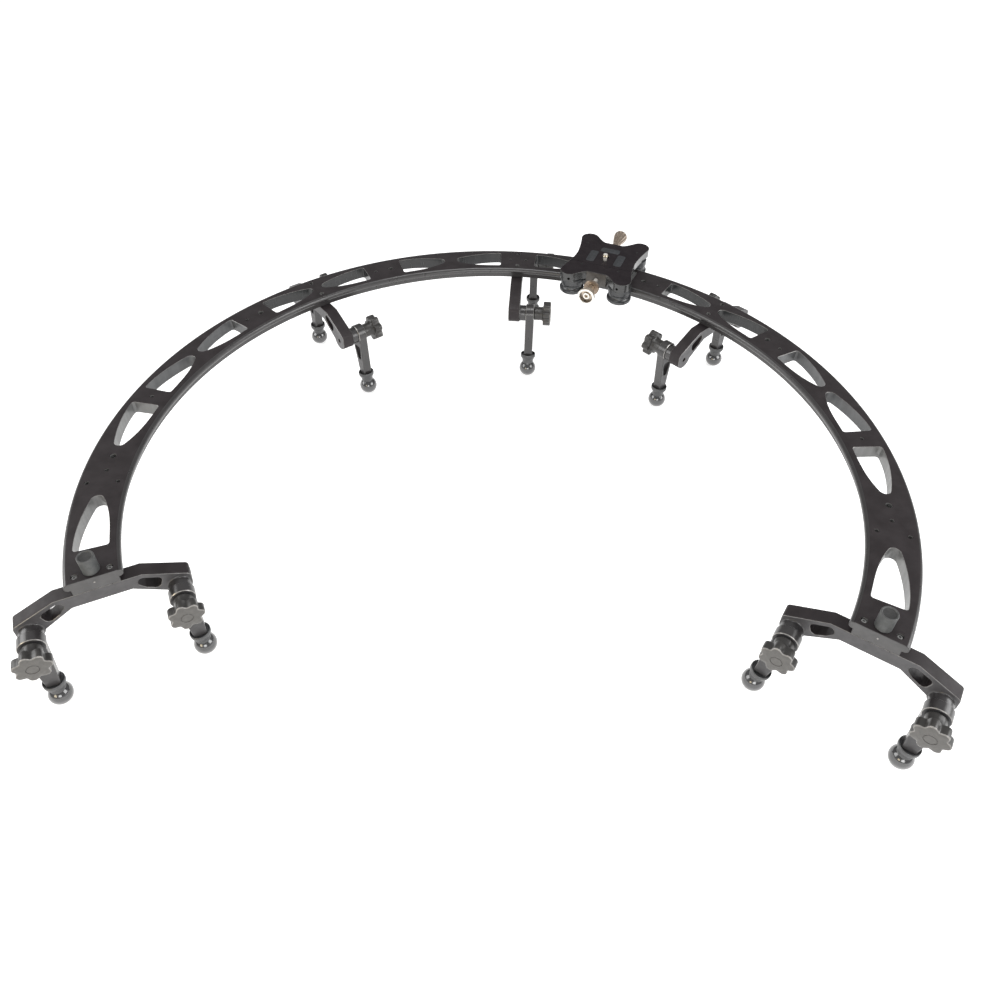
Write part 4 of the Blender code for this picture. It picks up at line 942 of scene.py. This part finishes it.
def leg_mesh():
    """A leg hanging from its pivot along -y, with its thickness along z from the bracket outwards."""
    head = arc((0, 0), LEG_HEAD_RADIUS, -LEG_SHOULDER_ANGLE, 180 + LEG_SHOULDER_ANGLE, 44)
    outline = head + [(-LEG_END_WIDTH / 2, -LEG_LENGTH), (LEG_END_WIDTH / 2, -LEG_LENGTH)]
    mesh = prism(outline, LEG_START, LEG_START + LEG_THICKNESS, LEG_CHAMFER, LEG_CHAMFER)
    top_half, bottom_half = LEG_SLOT_TOP_WIDTH / 2, LEG_SLOT_WIDTH / 2
    slot = rounded([(top_half, -LEG_SLOT_TOP), (-top_half, -LEG_SLOT_TOP),
                    (-bottom_half, -LEG_SLOT_BOTTOM), (bottom_half, -LEG_SLOT_BOTTOM)], LEG_SLOT_CORNER, 8)
    for hole in (slot, circle(STUD_RADIUS + GAP, HOLE_SIDES)):
        mesh = cut(mesh, flared_cutter(hole, LEG_START, LEG_START + LEG_THICKNESS, HOLE_CHAMFER))

    def choose(face):
        # Chamfers round the head get a painted highlight; the lower chamfers take the plate's rim colour
        if sloped(face):
            return 1 if face.center.y > -LEG_HEAD_RADIUS else 3
        # Flat front and back faces get painted light, a lighter copy of the leg's colour
        return 2 if level(face) else 0

    return paint(mesh, "turned worn_edge leg_face plate_rim", choose)


def clamp_knob_mesh():
    """A lobed hand knob: fluted round hub, lobes with rounded rims, slightly domed face with a ring, stud."""
    start, hub, wide, edge = KNOB_START, KNOB_HUB_RADIUS, KNOB_RADIUS, KNOB_EDGE
    flute, depth, ring, lip = KNOB_FLUTE, KNOB_LOBE_DEPTH, KNOB_FACE_RADIUS, 0.0012
    face = start + KNOB_HUB_LENGTH
    top = face + KNOB_THICKNESS
    rim = top - KNOB_DOME
    tip = start - KNOB_STUD_LENGTH
    profile = [(0, tip, 0), (STUD_RADIUS, tip, 0), (STUD_RADIUS, start, 0), (hub - edge, start, 0),
               (hub, start + edge, 0), (hub, start + 0.003, 0), (hub, start + 0.0045, flute),
               (hub, face - KNOB_FLARE_LENGTH, flute), (hub + 0.0008, face - 0.0015, flute * 1.4),
               (KNOB_FLARE_RADIUS, face, flute * 1.8), (wide - edge, face, depth - edge * 0.4),
               (wide - edge * 0.3, face + edge * 0.3, depth), (wide, face + edge, depth),
               (wide, rim - edge, depth)]
    for share in (0.25, 0.5, 0.75, 1.0):
        turn = math.radians(90 * share)
        profile.append((wide - edge * (1 - math.cos(turn)), rim - edge * (1 - math.sin(turn)),
                        depth - edge * 0.2 * share))
    for share in (0.75, 0.5, 0.25):
        profile.append((ring + lip + (wide - edge - ring - lip) * share,
                        rim + KNOB_DOME * (1 - share ** 2), (depth - edge * 0.2) * share))
    profile += [(ring + 0.0005, top, 0), (ring + 0.0002, top - 0.0007, 0), (ring - 0.0003, top - 0.0007, 0),
                (ring - 0.0007, top - 0.0001, 0), (0, top, 0)]
    mesh = lobed(profile, KNOB_LOBES, KNOB_LOBES * 16, KNOB_NOTCH_POWER)

    def choose(part_face):
        # The rounded rim gets a painted highlight band, and the domed face a lighter colour as painted
        # reflection
        if part_face.center.z < rim - edge:
            return 0
        return 1 if part_face.center.z > rim or part_face.center.xy.length < KNOB_FACE_RADIUS * 2 else 2

    return paint(mesh, "moulded moulded_face moulded_rim", choose)


def ball_foot_mesh():
    """A glossy ball foot with a flared cup; 0 at the ball's centre, z along the leg."""
    wall, cup, floor, top, low = FOOT_CUP_WALL, FOOT_CUP_RADIUS, FOOT_CUP_FLOOR, FOOT_CUP_TOP, FOOT_CUP_BOTTOM
    neck_angle = math.degrees(math.acos(FOOT_NECK_RADIUS / BALL_RADIUS))
    ball = arc((0, 0), BALL_RADIUS, neck_angle, -90, 28)
    stem_top = floor + FOOT_STEM_LENGTH
    flare_low = ball[0][1] + 0.001
    profile = [(0, stem_top), (FOOT_STEM_RADIUS, stem_top), (FOOT_STEM_RADIUS, floor), (cup - wall, floor),
               (cup - wall * 0.8, top - 0.0006), (cup - wall * 0.4, top), (cup - 0.0003, top - 0.0004),
               (cup, top - 0.001), (cup, low + 0.001), (cup - 0.0004, low)]
    for k in range(7, -1, -1):
        share = k / 8
        radius = FOOT_NECK_RADIUS + (cup - 0.0006 - FOOT_NECK_RADIUS) * share ** FOOT_FLARE_POWER
        profile.append((radius, flare_low + (low - flare_low) * share))
    mesh = lathe(profile + ball)

    def choose(face):
        return 1 if face.center.z > flare_low - 0.0005 else 0

    return paint(mesh, "gloss cup", choose)


def make_brackets():
    """The brackets with their legs, clamp knobs and feet, in the places of the CAD."""
    bracket = bracket_mesh()
    leg = leg_mesh()
    knob = clamp_knob_mesh()
    foot = ball_foot_mesh()
    down = turn_about("X", -90)
    for name, angle, face, direction, inner_tilt, outer_tilt in BRACKETS:
        facing = turn_about("X", 90) @ turn_about("Y", 90 + 90 * direction)
        place = along_rail(angle) @ shift(RAIL_MIDDLE_RADIUS, face, 0) @ facing
        add("bracket_body_" + name, bracket, place @ shift(0, -GAP, 0), "root",
            ["bracket_" + name])
        for side, tilt, which in ((-1, inner_tilt, "_inner"), (1, outer_tilt, "_outer")):
            pivot = place @ shift(-side * PIVOT_HALF * direction, -PIVOT_DEPTH, 0)
            swing = pivot @ turn_about("Z", -tilt * direction)
            reach = BALL_DROP / math.cos(math.radians(tilt))
            ball = swing @ shift(0, -reach, LEG_START + LEG_THICKNESS / 2) @ down
            key = name + which
            add("hand_knob_" + key, knob, pivot, "clamp_knob_" + key, ["clamp_knob_" + key])
            add("leg_bar_" + key, leg, swing, "leg_" + key, ["leg_" + key])
            add("foot_" + key, foot, ball, "ball_foot_" + key, ["ball_foot_" + key])


def plate_outline():
    """The carriage's outline in u and v: four round lobes with drawn-in sides between them."""
    lobe = arc((LOBE_U, LOBE_V), LOBE_RADIUS, WAIST_LOBE_ANGLE, FRONT_LOBE_ANGLE, 24)
    waist_end, front_end = lobe[0], lobe[-1]
    quarter = []
    steps = 12
    for k in range(steps):
        share = k / steps
        reach = (waist_end[0] - WAIST_HALF) * share ** WAIST_POWER
        quarter.append((WAIST_HALF + reach, waist_end[1] * share))
    quarter += lobe
    for k in range(steps - 1, -1, -1):
        share = k / steps
        quarter.append((FRONT_FLAT_HALF + (front_end[0] - FRONT_FLAT_HALF) * share,
                        FRONT_HALF + (front_end[1] - FRONT_HALF) * share ** FRONT_POWER))
    left = [(-u, v) for u, v in reversed(quarter)]
    front_left = [(-u, -v) for u, v in quarter[1:]]
    front_right = [(u, -v) for u, v in reversed(quarter[1:])]
    return quarter + left + front_left + front_right


def plate_half(low, high):
    """The chamfered plate between two values of v."""
    whole = prism(plate_outline(), PLATE_BOTTOM, PLATE_TOP, PLATE_CHAMFER, PLATE_CHAMFER)
    outline = box_outline((0.0, (low + high) / 2), (4 * LOBE_U, high - low))
    return combined(whole, prism(outline, PLATE_BOTTOM - GAP, PLATE_TOP + GAP), "INTERSECT")


def level_bore(radius, start, end, u=0.0, height=SCREW_LINE):
    """A round cutter along v, from v = start to v = end."""
    bore = prism(circle(radius, HOLE_SIDES), start, end)
    return moved(bore, shift(u, 0, height) @ turn_about("X", -90))


def wheel_places():
    """u and v of each wheel."""
    reach = WHEEL_GROOVE_RADIUS + WHEEL_GAP
    outer = math.sqrt((RAIL_OUTER_RADIUS + reach) ** 2 - WHEEL_U ** 2) - RAIL_MIDDLE_RADIUS
    inner = math.sqrt((RAIL_INNER_RADIUS - reach) ** 2 - WHEEL_U ** 2) - RAIL_MIDDLE_RADIUS
    return {"rear_left": (-WHEEL_U, outer), "rear_right": (WHEEL_U, outer),
            "front_left": (-WHEEL_U, inner), "front_right": (WHEEL_U, inner)}


def plate_tints(face):
    """Top and bottom faces, rims and walls of the plate."""
    if sloped(face):
        return 1
    return 0 if level(face) else 2


def screw_seats(mesh, low, high):
    """Small seats in the plate's top for its screws between two values of v."""
    for u, v in PLATE_SCREWS:
        if low < v < high:
            outline = circle(PLATE_SCREW_RADIUS + 0.0002, HOLE_SIDES, (u, v))
            mesh = cut(mesh, prism(outline, PLATE_TOP - 0.002, PLATE_TOP + 0.002))
    return mesh


def main_plate_mesh():
    """The main plate with its camera slot, pad seats and the lug that holds the tension screw's thread."""
    start = JAW_SPLIT + JAW_GAP / 2
    mesh = plate_half(start, LOBE_V + 2 * LOBE_RADIUS)
    lug_size = (2 * THREAD_LUG_HALF, THREAD_LUG_END - start)
    lug = prism(box_outline((0.0, (start + THREAD_LUG_END) / 2), lug_size), THREAD_LUG_LIFT,
                PLATE_BOTTOM + 2 * PLATE_CHAMFER, PLATE_CHAMFER)
    mesh = combined(mesh, lug, "UNION")
    bore_end = THREAD_LUG_END - 0.0027
    shaft_bore = level_bore(TENSION_SHAFT_RADIUS + GAP, JAW_SPLIT - PLATE_THICKNESS, bore_end,
                            height=TENSION_LINE)
    mesh = cut(mesh, shaft_bore)
    slot_half = CAMERA_SCREW_RADIUS + 2 * GAP
    slot = (arc((0, CAMERA_SLOT_HALF - slot_half), slot_half, 0, 180, 14)
            + arc((0, slot_half - CAMERA_SLOT_HALF), slot_half, 180, 360, 14))
    mesh = cut(mesh, flared_cutter(slot, PLATE_BOTTOM, PLATE_TOP, HOLE_CHAMFER))
    for u, v, width, length in PADS.values():
        outline = box_outline((u, v), (width + 2 * GAP, length + 2 * GAP), PAD_CORNER)
        mesh = cut(mesh, prism(outline, PLATE_TOP - PAD_SEAT, 2 * PLATE_TOP))
    mesh = screw_seats(mesh, JAW_SPLIT, LOBE_V)
    return paint(mesh, "plate_top plate_rim plate_side", plate_tints)


def front_jaw_mesh():
    """The jaw with the block under it, the shaft's bore and the set-screw holes in its lobes."""
    mesh = plate_half(-LOBE_V - 2 * LOBE_RADIUS, JAW_SPLIT - JAW_GAP / 2)
    size = (2 * JAW_BLOCK_HALF, JAW_BLOCK_BACK - JAW_BLOCK_FRONT)
    outline = box_outline((0.0, (JAW_BLOCK_FRONT + JAW_BLOCK_BACK) / 2), size, 0.001)
    block = prism(outline, JAW_BLOCK_LIFT, PLATE_TOP - JAW_BLOCK_STEP, EDGE_CHAMFER)
    mesh = combined(mesh, block, "UNION")
    shaft_bore = level_bore(TENSION_SHAFT_RADIUS + GAP, -2 * FRONT_HALF, 0.0, height=TENSION_LINE)
    mesh = cut(mesh, shaft_bore)
    for side in (1, -1):
        hole = level_bore(SET_SCREW_RADIUS, -2 * LOBE_V, -LOBE_V - LOBE_RADIUS / 3, side * SET_SCREW_U,
                          PLATE_BOTTOM + SET_SCREW_RISE)
        mesh = cut(mesh, hole)
    mesh = screw_seats(mesh, -LOBE_V, JAW_SPLIT)

    def choose(face):
        tint = plate_tints(face)
        on_block = abs(face.center.x) < JAW_BLOCK_HALF + WELD and face.center.y < JAW_BLOCK_BACK
        return 3 if tint == 2 and on_block else tint

    return paint(mesh, "plate_top plate_rim plate_side jaw_block", choose)


def wheel_mesh():
    """A grooved wheel with rounded rims, bored for its axle and dished below."""
    axis_to_bead = WHEEL_GROOVE_RADIUS + WHEEL_GAP + BEAD_RADIUS
    hollow = BEAD_RADIUS + WHEEL_GAP
    wide, flange, bore, dish = WHEEL_RADIUS, WHEEL_FLANGE_RADIUS, AXLE_HOLE_RADIUS, WHEEL_DISH_RADIUS
    upper = math.degrees(math.acos((axis_to_bead - wide) / hollow))
    lower = math.degrees(math.acos((axis_to_bead - flange) / hollow))
    groove = []
    for k in range(17):
        angle = math.radians(upper - (upper + lower) * k / 16)
        groove.append((axis_to_bead - hollow * math.cos(angle), hollow * math.sin(angle) - BEAD_RADIUS))
    top, low, flange_low = PLATE_BOTTOM - WHEEL_TOP_GAP, -WHEEL_DEPTH, -WHEEL_FLANGE_DEPTH
    dish_floor = low + WHEEL_DISH_DEPTH
    rim = 0.0008
    profile = [(bore, top), (wide - rim, top), (wide - rim * 0.3, top - rim * 0.3), (wide, top - rim)]
    profile += groove + [(flange, flange_low + rim), (flange - rim * 0.5, flange_low),
                         (flange - 0.003, low + 0.0012), (dish + 0.0045, low), (dish, low),
                         (dish - rim, low + rim), (dish - rim, dish_floor), (bore, dish_floor)]
    return paint(lathe(profile, 72, ring=True), "wheel")


def pad_mesh(width, length):
    """A grip pad with a softly rounded rim; 0 at the middle of its underside."""
    outline = box_outline((0, 0), (width, length), PAD_CORNER)
    edge = 0.0004
    rings = [at_height(outline, 0.0), at_height(outline, PAD_THICKNESS - edge),
             at_height(offset(outline, -edge * 0.3), PAD_THICKNESS - edge * 0.3),
             at_height(offset(outline, -edge), PAD_THICKNESS)]
    return paint(loft(rings), "pad")


def camera_screw_mesh():
    """The camera screw: head under the plate, relieved neck, and rings of thread at the top."""
    top = PLATE_TOP + CAMERA_SCREW_STAND
    head_top = PLATE_BOTTOM - GAP
    neck_top = PLATE_TOP + CAMERA_NECK_TOP
    radius, pitch, neck = CAMERA_SCREW_RADIUS, CAMERA_THREAD_PITCH, CAMERA_NECK_RADIUS
    head, edge = CAMERA_HEAD_RADIUS, 0.0005
    head_low = head_top - CAMERA_HEAD_HEIGHT
    root = radius - 0.0004
    profile = [(0, top), (radius - 0.0009, top), (root, top - 0.0005)]
    height = top - 0.0009
    while height > neck_top:
        profile += [(radius, height), (radius, height - pitch * 0.2), (root, height - pitch * 0.5),
                    (root, height - pitch * 0.7)]
        height -= pitch
    profile += [(root, neck_top), (neck, PLATE_TOP + CAMERA_NECK_TOP / 2), (neck, head_top),
                (head - edge, head_top), (head, head_top - edge), (head, head_low + edge),
                (head - edge, head_low), (0, head_low)]
    return paint(lathe(profile, 40), "brass bright",
                 lambda face: 1 if face.center.z < neck_top or face.center.z > top - 0.0002 else 0)


def tension_knob_mesh():
    """The tension knob and shaft: knurled barrel, flared rim, recessed face with a boss and socket."""
    start = TENSION_KNOB_START
    shaft, neck, barrel, wide = (TENSION_SHAFT_RADIUS, TENSION_NECK_RADIUS, TENSION_BARREL_RADIUS,
                                 TENSION_FACE_RADIUS)
    ring, knob_boss, socket = TENSION_FACE_RING, TENSION_BOSS_RADIUS, TENSION_SOCKET_RADIUS
    neck_end = start + TENSION_NECK_LENGTH
    barrel_start, barrel_end = start + TENSION_BARREL_START, start + TENSION_BARREL_END
    face = start + TENSION_KNOB_LENGTH
    floor = face - TENSION_FACE_DEPTH
    boss = floor + 0.0045
    rim = face - TENSION_FACE_LENGTH
    knurl = 0.0005
    profile = [(0, TENSION_SHAFT_TIP, 0), (shaft, TENSION_SHAFT_TIP, 0), (shaft, start, 0),
               (neck - 0.0006, start, 0), (neck, start + 0.0006, 0), (neck, neck_end, 0),
               (neck + 0.0012, neck_end + 0.002, knurl), (barrel - 0.0004, barrel_start, knurl),
               (barrel, barrel_start + 0.001, knurl), (barrel, barrel_end - 0.001, knurl),
               (barrel + 0.0004, barrel_end, 0), (wide - 0.0004, rim, 0), (wide, rim + 0.0006, 0),
               (wide, face - 0.0008, 0), (wide - 0.0002, face - 0.0002, 0), (wide - 0.0006, face, 0),
               (ring + 0.0004, face, 0), (ring, face - 0.0005, 0), (ring, floor, 0),
               (knob_boss, floor, 0), (knob_boss, boss - 0.0004, 0), (knob_boss - 0.0005, boss, 0),
               (socket + 0.0003, boss, 0), (socket, boss - 0.0003, 0), (socket, floor + 0.001, 0),
               (0, floor + 0.001, 0)]
    mesh = lobed(profile, TENSION_FLUTES, 8 * TENSION_FLUTES)

    def choose(part_face):
        reach = part_face.center.xy.length
        if part_face.center.z > rim + 0.001 and reach < TENSION_FACE_RING + 0.0001:
            return 2 if boss - 0.0005 < part_face.center.z and reach > TENSION_SOCKET_RADIUS else 1
        return 2 if part_face.center.z > face - 0.0009 or part_face.center.z < start - 0.0001 else 0

    return paint(mesh, "champagne recess bright", choose)


def collar_mesh():
    """The collar on the tension shaft, with rounded rims and a groove."""
    start, wide, edge, groove = TENSION_COLLAR_START, TENSION_COLLAR_RADIUS, 0.0007, 0.0006
    end = start + TENSION_COLLAR_THICKNESS
    bore = TENSION_SHAFT_RADIUS + GAP
    middle = (start + end) / 2
    profile = [(bore, end), (wide - edge, end), (wide, end - edge), (wide, middle + edge),
               (wide - groove, middle), (wide, middle - edge), (wide, start + edge), (wide - edge, start),
               (bore, start)]
    return paint(lathe(profile, ring=True), "bronze_dark")


def brake_knob_mesh():
    """The brake knob: slim neck, fluted flare and domed end."""
    neck, length, flute = BRAKE_NECK_LENGTH, BRAKE_KNOB_LENGTH, BRAKE_FLUTE_DEPTH
    shaft, slim, wide = BRAKE_SHAFT_RADIUS, BRAKE_NECK_RADIUS, BRAKE_KNOB_RADIUS
    grow = wide - slim
    profile = [(0, BRAKE_SHAFT_TIP, 0), (0.0028, -0.0242, 0), (shaft, 0, 0), (shaft, GAP, 0),
               (slim - 0.0005, GAP, 0), (slim, GAP + 0.0005, 0), (slim, neck - 0.002, 0),
               (slim + 0.0004, neck, flute)]
    for share in (0.25, 0.5, 0.75, 0.95):
        profile.append((slim + grow * share, neck + (length - neck - 0.006) * share, flute))
    profile += [(wide, length - 0.0045, flute * 0.7), (wide, length - 0.003, 0), (wide, length - 0.001, 0)]
    for k in range(1, 9):
        angle = math.radians(90 * k / 8)
        profile.append((wide * math.cos(angle), length - 0.001 + (BRAKE_DOME + 0.001) * math.sin(angle), 0))
    return paint(lobed(profile, BRAKE_FLUTES, 16 * BRAKE_FLUTES), "bronze")


def make_carriage():
    """The carriage's pieces, in the CAD's places."""
    place = along_rail(CARRIAGE_ANGLE) @ shift(RAIL_MIDDLE_RADIUS, 0, 0) @ turn_about("Z", -90)
    add("plate_main", main_plate_mesh(), place, "carriage", ["main_plate"])
    add("plate_jaw", front_jaw_mesh(), place, "jaw", ["front_jaw"])
    wheel = wheel_mesh()
    for name, (u, v) in wheel_places().items():
        add("roller_" + name, wheel, place @ shift(u, v, 0), "wheel_" + name,
            ["wheel_" + name])
    for name, (u, v, width, length) in PADS.items():
        spot = place @ shift(u, v, PLATE_TOP - PAD_SEAT + GAP)
        add("soft_" + name, pad_mesh(width, length), spot, "carriage", [name])
    screw_place = place @ shift(0, CAMERA_SCREW_V, 0)
    add("screw_camera", camera_screw_mesh(), screw_place, "camera_screw", ["camera_screw"])
    small = socket_bolt_mesh(PLATE_SCREW_RADIUS, 0.0015, "plate_side")
    for count, (u, v) in enumerate(PLATE_SCREWS):
        body = "carriage" if v > JAW_SPLIT else "jaw"
        spot = place @ shift(u, v, PLATE_TOP - 0.0004)
        add("plate_screw_%d" % count, small, spot, body)
    front = place @ shift(0, -FRONT_HALF, TENSION_LINE) @ turn_about("X", 90)
    rear = place @ shift(0, FRONT_HALF, SCREW_LINE) @ turn_about("X", -90)
    add("knob_tension", tension_knob_mesh(), front, "tension_knob", ["tension_knob"])
    add("collar_tension", collar_mesh(), front, "tension_knob", ["tension_collar"])
    add("knob_brake", brake_knob_mesh(), rear, "brake_knob", ["brake_knob"])


def finish_carried_nodes():
    """Finishes for the CAD pieces that stay: axle bolts, guide pins and the brake shoe."""
    for name, piece in frame["nodes"].items():
        if name.startswith(("axle_bolt", "guide_pin", "brake_shoe")):
            piece.data.materials.clear()
            piece.data.materials.append(finishes["steel"])


def make_floor():
    """A plain pale floor that looks white and keeps the object's soft shadow."""
    bpy.ops.mesh.primitive_plane_add(size=FLOOR_SIZE, location=(0, 0, -FLOOR_DROP))
    floor = bpy.context.object
    floor.name = "floor"
    made, tree, shader = node_material("floor_white")
    shader.inputs["Base Color"].default_value = FLOOR_COLOUR
    shader.inputs["Roughness"].default_value = 0.9
    shader.inputs["Specular IOR Level"].default_value = 0.0
    rays = node(tree, "ShaderNodeLightPath").outputs
    seen = rays["Is Camera Ray"]
    for ray in ("Is Glossy Ray", "Is Transmission Ray"):
        either = node(tree, "ShaderNodeMath", links={0: seen, 1: rays[ray]})
        either.operation = "MAXIMUM"
        seen = either.outputs[0]
    glow = node(tree, "ShaderNodeEmission", {"Color": WHITE, "Strength": FLOOR_GLOW})
    lit = node(tree, "ShaderNodeAddShader", links={0: shader.outputs[0], 1: glow.outputs[0]})
    mix = node(tree, "ShaderNodeMixShader", links={0: seen, 1: shader.outputs[0], 2: lit.outputs[0]})
    tree.links.new(mix.outputs[0], tree.nodes["Material Output"].inputs["Surface"])
    floor.data.materials.append(made)


def make_world():
    """An even pale surround; the camera sees white, and reflections see it a little darker."""
    world = bpy.data.worlds.new("studio")
    bpy.context.scene.world = world
    world.use_nodes = True
    tree = world.node_tree
    rays = node(tree, "ShaderNodeLightPath").outputs
    last = tree.nodes["Background"]
    last.inputs["Color"].default_value = WHITE
    last.inputs["Strength"].default_value = WORLD_STRENGTH
    for strength, ray in ((WORLD_SHINE, "Is Glossy Ray"), (1.0, "Is Camera Ray")):
        seen = node(tree, "ShaderNodeBackground", {"Color": WHITE, "Strength": strength})
        links = {0: rays[ray], 1: last.outputs[0], 2: seen.outputs[0]}
        last = node(tree, "ShaderNodeMixShader", links=links)
    tree.links.new(last.outputs[0], tree.nodes["World Output"].inputs["Surface"])


def make_lights():
    """Soft rectangular lamps, aimed at their targets."""
    for name, place, target, size, power, colour in LAMPS:
        lamp = bpy.data.lights.new(name, "AREA")
        lamp.color = colour
        lamp.shape = "RECTANGLE"
        lamp.size, lamp.size_y = size
        lamp.energy = power
        obj = bpy.data.objects.new(name, lamp)
        bpy.context.scene.collection.objects.link(obj)
        obj.location = place
        aim = Vector(target) - Vector(place)
        obj.rotation_euler = aim.to_track_quat("-Z", "Y").to_euler()


def make_camera():
    """The photograph's camera."""
    pitch, yaw, roll = (math.radians(value) for value in (VIEW_PITCH, VIEW_YAW, VIEW_ROLL))
    turn = Matrix.Rotation(yaw, 3, "Z")
    forward = turn @ Vector((0, math.cos(pitch), -math.sin(pitch)))
    up = turn @ Vector((0, math.sin(pitch), math.cos(pitch)))
    right = turn @ Vector((1, 0, 0))
    rolled_right = right * math.cos(roll) + up * math.sin(roll)
    rolled_up = up * math.cos(roll) - right * math.sin(roll)
    camera = bpy.data.cameras.new("camera")
    camera.sensor_width = SENSOR
    camera.lens = FOCAL_PIXELS / FRAME_WIDTH * SENSOR
    camera.shift_x = (FRAME_WIDTH / 2 - VIEW_CENTRE[0]) / FRAME_WIDTH
    camera.shift_y = (VIEW_CENTRE[1] - FRAME_WIDTH / 2) / FRAME_WIDTH
    camera.clip_start = 0.01
    obj = bpy.data.objects.new("camera", camera)
    bpy.context.scene.collection.objects.link(obj)
    axes = Matrix((rolled_right, rolled_up, -forward)).transposed().to_4x4()
    obj.matrix_world = Matrix.Translation(ARC_CENTRE + Vector(VIEW_PLACE)) @ axes
    bpy.context.scene.camera = obj


def main():
    """Builds the looks."""
    bpy.context.scene.view_settings.view_transform = "Standard"
    make_camera()
    make_world()
    make_lights()
    make_floor()
    make_finishes()
    make_rail()
    make_bracket_bolts()
    make_end_pins()
    make_bumpers()
    make_brackets()
    make_carriage()
    finish_carried_nodes()


main()
